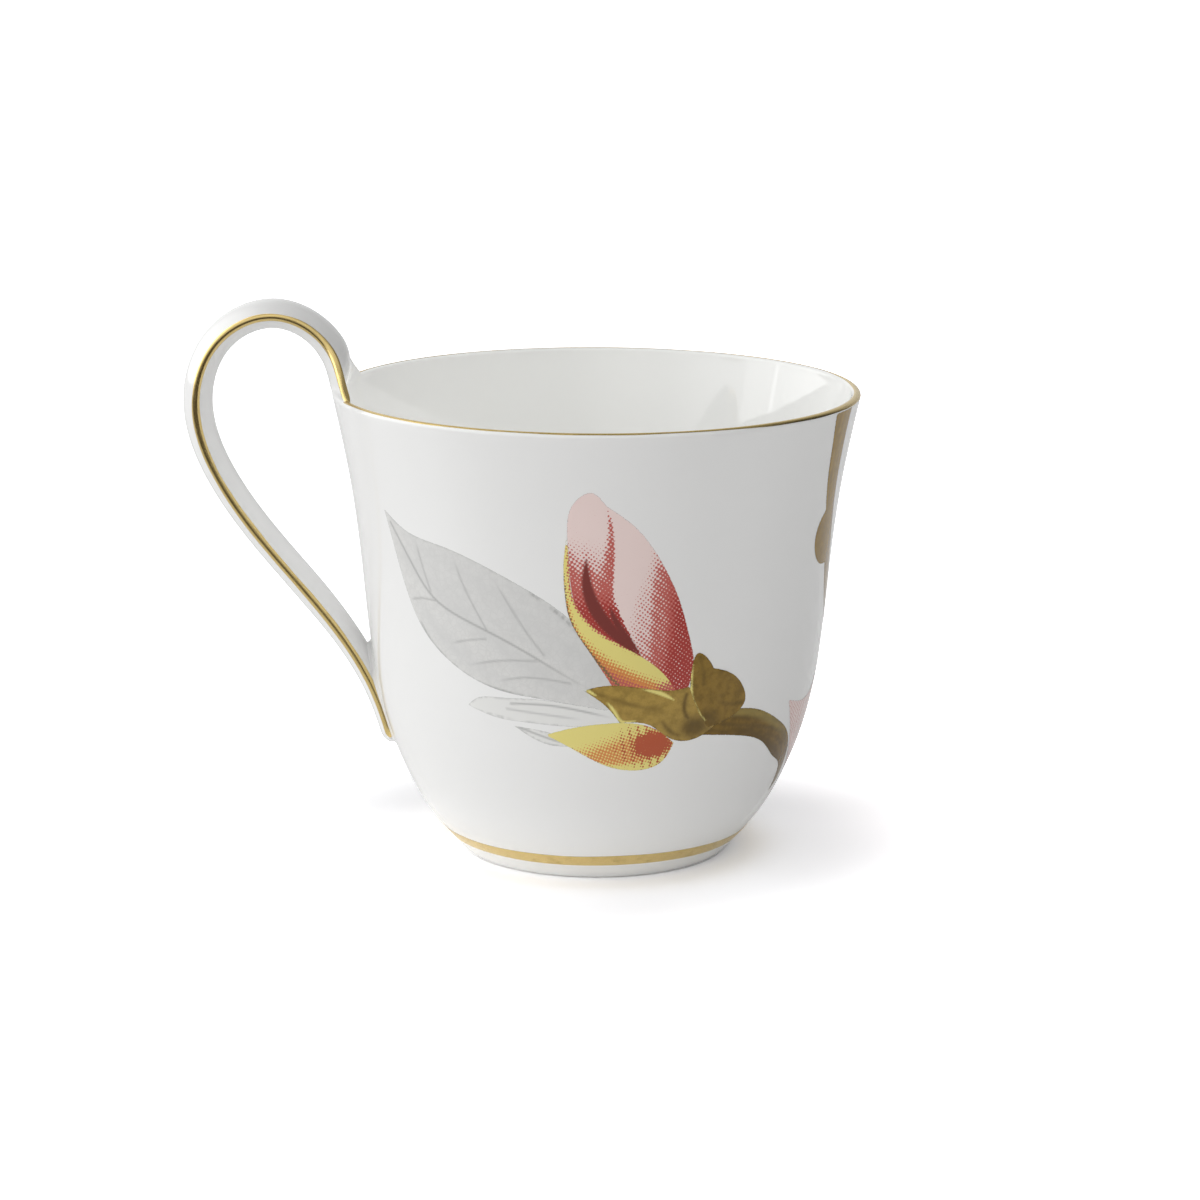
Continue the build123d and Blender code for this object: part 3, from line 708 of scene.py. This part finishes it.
def bract_inks(p, rim):
    a, z = p[:, 0], p[:, 1]
    dark = 0.6 * (1 - smooth(0.2, 1.2, np.hypot((a - 20.4) / 3.4, (z - 31.2) / 2.2)))
    dark = np.maximum(dark, pencil(p, [([(27.4, 33.2), (24.2, 33.4), (21.6, 34.4)], 0.4),
                                       ([(18.0, 42.4), (18.9, 39.4), (19.0, 36.0)], 0.35)], 0.5))
    sliver = stroke(p, [(16.8, 41.2), (16.5, 38.0), (16.9, 35.0), (18.2, 32.6), (20.0, 30.9)], 0.44, 0.12)
    return {"dark": dark, "sliver": sliver}


def twig_inks(p, rim):
    line = natural_spline([(20.0, 30.4), (30.0, 29.2), (38.6, 25.2), (45.0, 20.4), (48.6, 13.6)], 60)
    d, t, side = to_line(p, line)
    bark = 0.5 + 0.5 * np.sin(4.4 * d * side + 5.0 * np.sin(7.0 * t))
    dark = np.maximum(0.42 * bark, 0.7 * smooth(0.3, 1.7, -d * side) * smooth(0.1, 0.35, t))
    return {"dark": dark, "sliver": 0.18 * smooth(0.4, 1.6, d * side) * smooth(0.85, 0.4, t)}


def branch_inks(p, rim):
    line = natural_spline([(46.8, 80.2), (47.6, 70.0), (50.0, 59.0), (55.4, 48.6), (60.0, 42.5)], 60)
    d, t, side = to_line(p, line)
    bark = 0.5 + 0.5 * np.sin(3.6 * d * side + 4.0 * np.sin(6.0 * t))
    dark = np.maximum(0.5 * bark, 0.6 * smooth(0.6, 2.4, d * side))
    return {"dark": np.maximum(dark, 0.45 * smooth(68, 61, p[:, 1]))}


def leaf_inks(midrib, veins, shade, edges=()):
    """A leaf: pencilled midrib and veins, one side in shade, and edges drawn with a broken line."""
    def inks(p, rim):
        lines = [(midrib, 0.62)] + [(v, 0.40) for v in veins]
        d, t, side = to_curve(p, midrib, 60)
        tone = shade * (0.5 + 0.5 * np.sin(0.55 * p[:, 0] + 0.8 * p[:, 1])) * smooth(0.3, 2.5, rim)
        tone = np.maximum(tone, 0.6 * shade * (side > 0) * smooth(0.2, 2.0, d))
        rough_edge = np.zeros(len(p))
        for points, weight in edges:
            d, t, side = to_curve(p, points, 60)
            run = 37 * t + 3 * np.sin(11 * t + weight * 9)
            broken = np.clip(0.62 + 0.45 * np.sin(run) + 0.3 * np.sin(3.3 * run + 1), 0, 1)
            dark = 0.8 * weight * broken * (1 - smooth(0.08, 0.45, d))
            rough_edge = np.maximum(rough_edge, dark * smooth(0, 0.1, t) * smooth(1, 0.9, t))
        return {"vein": pencil(p, lines, 0.12), "tone": tone, "speck": rough_edge}
    return inks


BLOOM_MIDDLE = (80.0, 42.4)


def round_bloom(p):
    """Distance and direction of points from the middle of the open bloom."""
    x, y = p[:, 0] - BLOOM_MIDDLE[0], p[:, 1] - BLOOM_MIDDLE[1]
    return np.hypot(x, y), np.arctan2(y, x)


def petal_inks(folds):
    """Petals of the open bloom: pale at their edges, redder towards the heart, with fine creases."""
    def inks(p, rim):
        away, angle = round_bloom(p)
        ragged = away * (1 + (0.14 * np.sin(23 * angle) + 0.09 * np.sin(41 * angle + 1.0)))
        red = np.maximum(0.85 * (1 - smooth(5, 20, ragged)), 0.08 + 0.16 * smooth(38, 26, p[:, 1]))
        seams = np.zeros(len(p))
        for points in folds:
            d, t, side = to_curve(p, points)
            seam = 0.80 * (1 - smooth(0.1, 3.0 + 0.5 * np.sin(2.1 * away), d)) * (side > 0)
            seams = np.maximum(seams, seam * smooth(1.02, 0.5, t))
        return {"red": np.maximum(red, seams), "deep": 0.75 * (1 - smooth(5, 12, ragged)),
                "vein": pencil(p, [(f, 0.8) for f in folds], 0.12)}
    return inks


def heart_inks(p, rim):
    away, angle = round_bloom(p)
    stamens = smooth(0.35, 0.8, 0.5 + 0.5 * np.sin(26 * angle + 3 * np.sin(away))) * smooth(2.2, 3.2, away)
    return {"dark": 0.85 * stamens, "core": 1 - smooth(1.8, 2.9, away + 0.4 * np.sin(7 * angle))}


# ================================================================ the pieces
# ---------------------------------------------------------------- bowl
def bowl():
    profile = np.concatenate([
        np.stack([np.linspace(0, 19.0, 12), 3.2 - 0.6 * np.linspace(0, 1, 12) ** 2], -1),
        arc(19.2, 1.8, 0.8, 88, 8, 7),
        [(20.35, 1.1)],
        arc(21.3, 0.5, 0.5, 195, 265, 6),
        arc(22.9, 0.5, 0.5, 270, 322, 6),
        [(23.75, 0.5), (24.3, 1.1), (24.8, 1.7)],
        natural_spline(OUTER_WALL, 110)[:-1],
        arc(LIP_RADIUS, LIP_Z, LIP / 2, 0, 180, 17),
        natural_spline(INNER_WALL, 110)[1:-1],
    ])
    turns = np.linspace(0, 2 * np.pi, 360, endpoint=False)
    grid = np.stack([profile[:, None, 0] * np.cos(turns), profile[:, None, 0] * np.sin(turns),
                     profile[:, None, 1] + 0 * turns], -1)
    rows, columns = grid.shape[0] - 1, grid.shape[1]
    points = np.r_[grid[1:].reshape(-1, 3), [(0, 0, 3.2)], [(0, 0, 5.6)]]
    faces = grid_faces(rows, columns, close_columns=True)
    bottom, top = rows * columns, rows * columns + 1
    faces += [(bottom, (j + 1) % columns, j) for j in range(columns)]
    last = (rows - 1) * columns
    faces += [(top, last + j, last + (j + 1) % columns) for j in range(columns)]
    inside = np.repeat(np.arange(len(profile)) > len(profile) - 116, columns)[columns:]
    floats = {"inside": np.r_[inside, [0, 1]]}
    make_mesh("bowl", "cup_body", china("bone_china_bowl"), points, faces, floats=floats)


bowl()

# ---------------------------------------------------------------- strap handle and its slip
strap_glaze = china("bone_china_strap")
slip_glaze = china("bone_china_slip")


def strap_piece(name, low, high, node, finish):
    rows = strap[low:high + 1]
    count, around = rows.shape[:2]
    faces = grid_faces(count, around, close_columns=True)
    faces += end_faces(count, around)
    flat = rows.reshape(-1, 3)
    x, y, z = flat.T
    # The strap's root at the lip takes the same painted light as the inside of the bowl.
    painted_light_inside = smooth(45.4, 44.2, np.hypot(x, y)) * smooth(87, 82, z) * (z > 60)      # at the lip only
    make_mesh(name, node, finish, rows, faces, strap_normals[low:high + 1], {"inside": painted_light_inside})


strap_piece("upper_slip", 0, seam, "upper_joint_slip", slip_glaze)
strap_piece("strap", seam, len(stations) - 1, "handle", strap_glaze)

band = lower_fillet()
make_mesh("lower_slip", "lower_joint_slip", slip_glaze, band, grid_faces(*band.shape[:2], True, True),
          grid_normals(band, True, True))


# ---------------------------------------------------------------- gold lines
def gold_film(name, surface, normals, along, finish, node, thick=0.045):
    """A thin closed film over a grid of points of shape (stations, across, 3)."""
    count, across = surface.shape[:2]
    ring = np.concatenate([surface + thick * normals, (surface - SUNK * normals)[:, ::-1]], 1)
    ring_normals = np.concatenate([normals, -normals[:, ::-1]], 1)
    film = np.zeros((count, 2 * across, 3))
    film[..., 0] = along[:, None]
    film[..., 1] = np.r_[np.linspace(0, 1.4, across), np.linspace(1.4, 0, across)][None]
    faces = grid_faces(count, 2 * across, close_columns=True)
    faces += end_faces(count, 2 * across)
    make_mesh(name, node, finish, ring, faces, ring_normals, film=film)


gold_lines = gold("burnished_gold")
gold_at = np.r_[np.linspace(2.5, 16, 90), np.linspace(16, PATH_LENGTH - 1.6, 240)[1:]]
for side, label in ((-1, "near"), (1, "far")):
    hand = 5 * np.sin(0.31 * gold_at + side) + 3 * np.sin(0.83 * gold_at)
    half_turn = np.radians(np.clip(66 + hand, 0, 82))
    half_turn *= smooth(PATH_LENGTH - 1.5, PATH_LENGTH - 3.0, gold_at) ** 0.5
    half_turn *= 0.35 + 0.65 * smooth(2.4, 4.4, gold_at)
    turn = np.linspace(1, -1, 15)[None] * np.maximum(half_turn, 0.05)[:, None] * -side
    turn = turn + 0.25 * (smooth(16, 24, gold_at) * smooth(56, 44, gold_at))[:, None]
    surface = strap_edge(gold_at[:, None], turn, side)
    normals = grid_normals(surface)
    gold_film("strap_gold_" + label, surface, normals, gold_at, gold_lines, "handle_gold_" + label)

lip_gap = math.asin(LIP_GAP / LIP_RADIUS)
turns = np.linspace(-math.pi + lip_gap, math.pi - lip_gap, 420)[:, None]
outer_edge = 48 - 38 * smooth(0.35, 0.99, np.cos(turns))
inner_edge = 124 - 24 * smooth(0.0, 0.5, np.sin(turns))
across = np.radians(outer_edge + np.linspace(1, 0, 13)[None] * (inner_edge - outer_edge))
across = across + 0.05 * np.sin(9 * turns) + 0.03 * np.sin(23 * turns)
r = LIP_RADIUS + LIP / 2 * np.cos(across)
lip = np.stack([r * np.cos(turns), r * np.sin(turns), LIP_Z + LIP / 2 * np.sin(across)], -1)
lip_normals = np.stack([np.cos(across) * np.cos(turns), np.cos(across) * np.sin(turns), np.sin(across)], -1)
thin_gold = gold("thin_gold", 0.84)
gold_film("lip_gold", lip, lip_normals, turns[:, 0] * LIP_RADIUS, thin_gold, "rim_gold_line", 0.035)

turns = np.linspace(0, 2 * np.pi, 360, endpoint=False)
low = BAND[0] + 0.05 * np.sin(5 * turns)
height = BAND[1] - BAND[0] + 0.06 * np.sin(3 * turns + 1) + 0.03 * np.sin(11 * turns)
z = low + np.linspace(0, 1, 9)[:, None] * height
surface, normals = on_wall(turns[None] * DRAWING_RADIUS, z)
ring = np.concatenate([surface + 0.04 * normals, (surface - SUNK * normals)[::-1]], 0)
film = np.zeros(ring.shape)
film[..., 0] = (turns * 27)[None]
film[..., 1] = np.r_[np.linspace(0, 2, 9), np.linspace(2, 0, 9)][:, None]
make_mesh("foot_gold", "foot_gold_band", gold_lines, ring, grid_faces(18, 360, True, True),
          np.concatenate([normals, -normals[::-1]], 0), film=film)

# ---------------------------------------------------------------- prints
PINK, RED = (0.84, 0.685, 0.655), (0.535, 0.135, 0.115)
DEEP, CREASE = (0.40, 0.060, 0.052), (0.205, 0.050, 0.044)
YELLOW, ORANGE = (0.80, 0.70, 0.24), (0.68, 0.26, 0.085)
TIP_RED, SPECK = (0.47, 0.10, 0.045), (0.22, 0.15, 0.08)
OLIVE, BRACT_BROWN, BARK = (0.43, 0.285, 0.072), (0.29, 0.178, 0.036), (0.225, 0.132, 0.022)
BROWN, PALE_BARK, GREEN = (0.10, 0.062, 0.018), (0.375, 0.228, 0.024), (0.30, 0.36, 0.10)
GREY, FAINT, PENCIL, TONE = (0.715, 0.712, 0.70), (0.79, 0.79, 0.775), (0.26, 0.26, 0.26), (0.63, 0.63, 0.625)
REDS = [("red", RED, 0.58, 0.62), ("deep", DEEP, 0.58, 0.62)]
WOOD = [("dark", BROWN, 0, 0), ("sliver", YELLOW, 0, 0)]
PENCILS = [("vein", PENCIL, 0, 0), ("speck", PENCIL, 0, 0)]


def stippled(red):
    return [("orange", ORANGE, 0.54, 0.35), ("red", red, 0.54, 0.35), ("speck", SPECK, 0.5, 0.2)]


petal_ink = printed("pink_petal_print", PINK, REDS + [("crease", CREASE, 0, 0)])
sepal_ink = printed("yellow_sepal_print", YELLOW, stippled(RED))
tip_ink = printed("yellow_bud_print", YELLOW, stippled(TIP_RED))
calyx_ink = printed("olive_print", OLIVE, WOOD, BROWN, 0.3)
bract_ink = printed("bract_print", BRACT_BROWN, WOOD, BROWN, 0.3)
bark_ink = printed("bark_print", BARK, WOOD, BROWN, 0.3)
branch_ink = printed("branch_print", PALE_BARK, [("dark", BARK, 0, 0)], None, 0.25)
faint_ink = printed("faint_leaf_print", FAINT, PENCILS)
leaf_ink = printed("grey_leaf_print", GREY, [("tone", TONE, 0, 0)] + PENCILS, None, 0.07, True)
bloom_ink = printed("bloom_petal_print", PINK, REDS + [("vein", CREASE, 0, 0)])
heart_ink = printed("bloom_heart_print", YELLOW, [("dark", SPECK, 0.45, 0.3), ("core", GREEN, 0, 0)], BROWN)

# The prints lie one over another like the colours of a transfer, so some run on under their neighbours.
bud = BUD[:2] + [[(15.7, 36.2), (10.6, 36.8), (4.9, 41.0), (0.2, 45.4), (-2.8, 50.4), (-4.3, 61.5)]]
sepal = [SEPAL[0][:-1] + [(3.4, 37.2)], [(3.4, 37.2), (9.6, 35.4), (12.4, 34.4), (14.6, 35.8)],
         [(14.6, 35.8)] + SEPAL[2][1:]]
calyx = [CALYX[0][:3] + [(10.4, 37.3), (13.9, 37.0), (16.2, 37.4)],
         [(16.2, 37.4), (19.6, 34.4), (23.0, 30.8)],
         [(23.0, 30.8), (20.8, 28.9)] + CALYX[3][1:], CALYX[4]]
branch = [[(43.5, 81.25), (50.1, 81.25)], [(50.1, 81.25)] + BRANCH[1]] + BRANCH[2:5]
branch += [BRANCH[5] + [(43.5, 81.25)]]
twig = TWIG[:2] + [TWIG[2][:-1] + [(19.6, 28.3)], [(19.6, 28.3), (18.6, 30.4), (24.0, 32.4)]]
large_leaf = [LARGE_LEAF[0][:5] + [(-4.6, 50.2), (1.0, 44.0), (5.6, 39.0)],
              [(5.6, 39.0), (6.0, 35.6), (1.4, 33.8)], LARGE_LEAF[2]]
small_leaf = [[(-23.2, 33.2), (-21.6, 34.5), (-16.8, 35.3), (-10.4, 35.5), (-3.8, 34.9), (1.8, 34.0)],
              [(1.8, 34.0), (6.0, 33.4), (5.4, 31.6)],
              [(5.4, 31.6), (-4.6, 30.9), (-11.6, 31.2), (-18.6, 31.8), (-23.2, 33.2)]]
transfer("bud_petals", bud, 0.26, 0.026, petal_ink, bud_inks, 0.45)
transfer("bud_sepal", sepal, 0.26, 0.034, sepal_ink, sepal_inks, 0.3)
transfer("small_bud", SMALL_BUD, 0.26, 0.034, tip_ink, small_bud_inks, 0.35)
transfer("calyx", calyx, 0.26, 0.042, calyx_ink, calyx_inks, 0.25)
transfer("bract", BRACT, 0.26, 0.050, bract_ink, bract_inks, 0.25)
transfer("twig", twig, 0.32, 0.020, bark_ink, twig_inks, 0.3)
transfer("branch", branch, 0.34, 0.020, branch_ink, branch_inks, 0.3)
transfer("large_leaf", large_leaf, 0.30, 0.014, leaf_ink, leaf_inks(
    [(-38.4, 63.0), (-34.0, 57.0), (-29.2, 51.4), (-22.4, 48.2), (-15.6, 45.6), (-8.6, 42.0), (-3.8, 39.2),
     (1.0, 36.6)],
    [[(-18.6, 47.0), (-21.2, 51.6), (-23.0, 55.4), (-24.2, 59.2)],
     [(-8.6, 43.4), (-11.6, 47.4), (-14.6, 52.2), (-17.0, 56.2)],
     [(-9.6, 42.3), (-16.6, 41.8), (-23.0, 40.2)],
     [(-28.6, 50.8), (-32.0, 50.7), (-35.4, 49.8)],
     [(-4.2, 38.6), (-8.4, 39.2), (-12.4, 39.2), (-17.4, 38.0)],
     [(-29.6, 52.2), (-31.2, 57.0), (-32.2, 61.0)],
     [(-18.8, 45.4), (-22.2, 44.8), (-26.2, 43.6)]], 0.5,
    [([(-34.0, 48.7), (-30.6, 43.7), (-26.6, 40.5), (-21.8, 37.9), (-17.4, 36.7), (-8.4, 35.5)], 0.85),
     ([(-11.6, 54.9), (-8.2, 52.4), (-4.6, 49.4), (-1.4, 45.4)], 0.7),
     (LARGE_LEAF[0][:5], 0.3)]), 0.5)
transfer("small_leaf", small_leaf, 0.30, 0.020, faint_ink, leaf_inks(
    [(-14.8, 34.4), (-8.6, 34.6), (-3.1, 33.9), (3.4, 32.4)],
    [[(-15.6, 33.4), (-9.0, 32.9), (-2.0, 32.2)]], 0.35,
    [([(-22.9, 32.6), (-17.0, 31.8), (-11.6, 31.2), (-4.0, 30.9)], 0.45),
     ([(-23.2, 33.2), (-21.6, 34.5), (-16.8, 35.3), (-10.4, 35.5)], 0.4)]), 0.5)
transfer("lower_leaf", LOWER_LEAF, 0.28, 0.018, faint_ink, leaf_inks(
    [(-13.4, 30.2), (-9.0, 28.8), (-5.0, 27.6)], [], 0.2,
    [(LOWER_LEAF[0][:3], 0.5), (LOWER_LEAF[1], 0.6)]), 0.4)
transfer("bloom_front_petal", BLOOM_FRONT, 0.4, 0.034, bloom_ink, petal_inks([
    [(69.0, 38.4), (62.0, 33.0), (52.0, 27.0)]]), 0.45)
transfer("bloom_petals", BLOOM_BACK, 0.42, 0.026, bloom_ink, petal_inks([
    [(78.0, 47.0), (77.6, 53.0), (76.4, 60.0)], [(84.6, 43.0), (91.0, 43.6), (98.2, 46.0)],
    [(82.0, 38.6), (83.6, 31.0), (83.0, 23.6)], [(75.6, 41.2), (72.6, 39.2), (70.0, 38.6)],
    [(76.6, 38.6), (70.0, 31.4), (63.6, 25.2)], [(80.6, 47.6), (84.0, 53.0), (86.0, 58.6)],
    [(76.0, 44.4), (71.0, 50.0), (68.8, 58.0)]]), 0.45)
transfer("bloom_heart", BLOOM_HEART, 0.34, 0.040, heart_ink, heart_inks, 0.3)
transfer("back_leaf", BACK_LEAF, 0.4, 0.014, leaf_ink, leaf_inks(
    [(95.0, 27.8), (105.0, 31.2), (114.6, 40.6), (120.6, 57.6)],
    [[(103.0, 30.2), (108.0, 29.4), (113.4, 28.6)], [(108.6, 33.8), (114.0, 34.0), (119.0, 35.0)],
     [(113.0, 38.6), (117.4, 40.6), (121.2, 43.6)], [(104.6, 31.0), (106.0, 34.4), (106.6, 36.6)],
     [(111.0, 36.4), (112.6, 40.4), (113.4, 43.6)]], 0.5,
    [([(94.6, 25.0), (108.0, 23.8), (119.6, 32.4), (123.6, 46.0), (121.0, 59.8)], 0.6)]), 0.5)

# ================================================================ stage, light and camera
FLOOR_EDGE, FLOOR_Z = 5.0, -2e-5
stage_mesh = bpy.data.meshes.new("floor")
corners = [(-1, -1), (1, -1), (1, 1), (-1, 1)]
stage_mesh.from_pydata([(x * FLOOR_EDGE, y * FLOOR_EDGE, FLOOR_Z) for x, y in corners], [], [(0, 1, 2, 3)])
floor = bpy.data.objects.new("floor", stage_mesh)
bpy.context.scene.collection.objects.link(floor)
paper, n = material("pale_paper", (0.9, 0.9, 0.9))
seen = n.ray("Camera")
mirrored = n.ray("Glossy")
x, y, _ = n.split(n.position())
away = n.add("VectorMath", {"operation": "LENGTH"}, {0: n.position()}).outputs["Value"]
# What the camera sees, with painted shading of the cast shadow: the paper is made brighter away from the foot
# and on the right and darker close behind, so the shadow is soft, and a little stronger in front and behind
# than on the right.
painted_shadow_tone = n.times_plus(n.ramp(x, 0.002, 0.034), 0.27, 1.27)
painted_shadow_tone = n.times_plus(n.ramp(away, 0.040, 0.066), 0.45, painted_shadow_tone)
painted_shadow_tone = n.times_plus(n.times(n.ramp(y, 0.008, 0.030), n.ramp(away, 0.075, 0.055)), -0.18, painted_shadow_tone)
paper_tone = n.add("CombineXYZ", None, {0: painted_shadow_tone, 1: painted_shadow_tone, 2: n.times(painted_shadow_tone, 1.02)}).outputs[0]
# What lights the cup: close to the foot the paper is painted brighter than white, a painted bounce that
# lights the foot, and further ahead it is painted dark in reflections, a painted dark reflection.
near = n.mix(n.ramp(away, 0.034, 0.046), (1.14, 1.14, 1.14, 1), (0.955, 0.955, 0.955, 1))
tone = n.mix(seen, near, paper_tone)
tone = n.mix(n.times(mirrored, n.ramp(y, -0.05, -0.14)), tone, (0.10, 0.09, 0.08, 1))
n.finish(n.add("BsdfDiffuse", None, {"Color": tone}).outputs[0])
stage_mesh.materials.append(paper)

# Soft light as (azimuth from the right, height, strength): strong from the left, some from above the
# camera's right; the far front stays dark.
LIGHTS = [(90, 15, 0.69), (135, 15, 0.44), (180, 15, 1.54), (225, 15, 0.56), (270, 15, 0.20),
          (60, 50, 0.12), (240, 50, 0.20), (300, 50, 0.66), (0, 88, 0.10)]
world = bpy.data.worlds.new("studio")
bpy.context.scene.world = world
world.use_nodes = True
n = Nodes(world.node_tree)
way = n.add("TexCoord").outputs["Generated"]
x, y, z = n.split(way)
level = 0.005             # the unlit room
for azimuth, height, strength in LIGHTS:
    azimuth, height = math.radians(azimuth), math.radians(height)
    aim = (math.cos(azimuth) * math.cos(height), math.sin(azimuth) * math.cos(height), math.sin(height))
    facing = n.add("VectorMath", {"operation": "DOT_PRODUCT"}, {0: way, 1: aim}).outputs["Value"]
    level = n.times_plus(n.ramp(facing, 0.55, 1.0), strength, level)
# The light on the left is a tall window with one clear edge and a brighter mullion, seen in reflections only.
around = n.math("ARCTAN2", y, n.times(x, -1.0))
window = n.times(n.ramp(around, -0.275, -0.245), n.ramp(around, 1.0, 0.6))
window = n.times(window, n.ramp(z, -0.35, -0.15))
strip = n.times(n.ramp(around, 0.02, 0.045), n.ramp(around, 0.085, 0.06))
strip = n.times(strip, n.times(n.ramp(z, 0.05, 0.10), 1.7))
level = n.times_plus(n.math("ADD", window, strip), n.ray("Glossy"), level)
level = n.math("MAXIMUM", level, n.ray("Camera"))      # pale beyond the floor's edge
sky = n.add("Background", None, {"Color": (1.0, 1.0, 0.995, 1), "Strength": level})
n.add("OutputWorld", None, {"Surface": sky.outputs[0]})

lens = bpy.data.cameras.new("camera")
lens.sensor_width = 36.0
lens.lens = 118.08
lens.clip_start, lens.clip_end = 0.05, 50
camera = bpy.data.objects.new("camera", lens)
camera.matrix_world = Matrix.Translation((0, -0.6779, 0.1956))
DOWN, PAN, ROLL = 12.60, -0.064, 0.204
for angle, axis in ((PAN, "Z"), (90 - DOWN, "X"), (ROLL, "Z")):
    camera.matrix_world = camera.matrix_world @ Matrix.Rotation(math.radians(angle), 4, axis)
bpy.context.scene.collection.objects.link(camera)
bpy.context.scene.camera = camera
bpy.context.scene.view_settings.view_transform = "Standard"
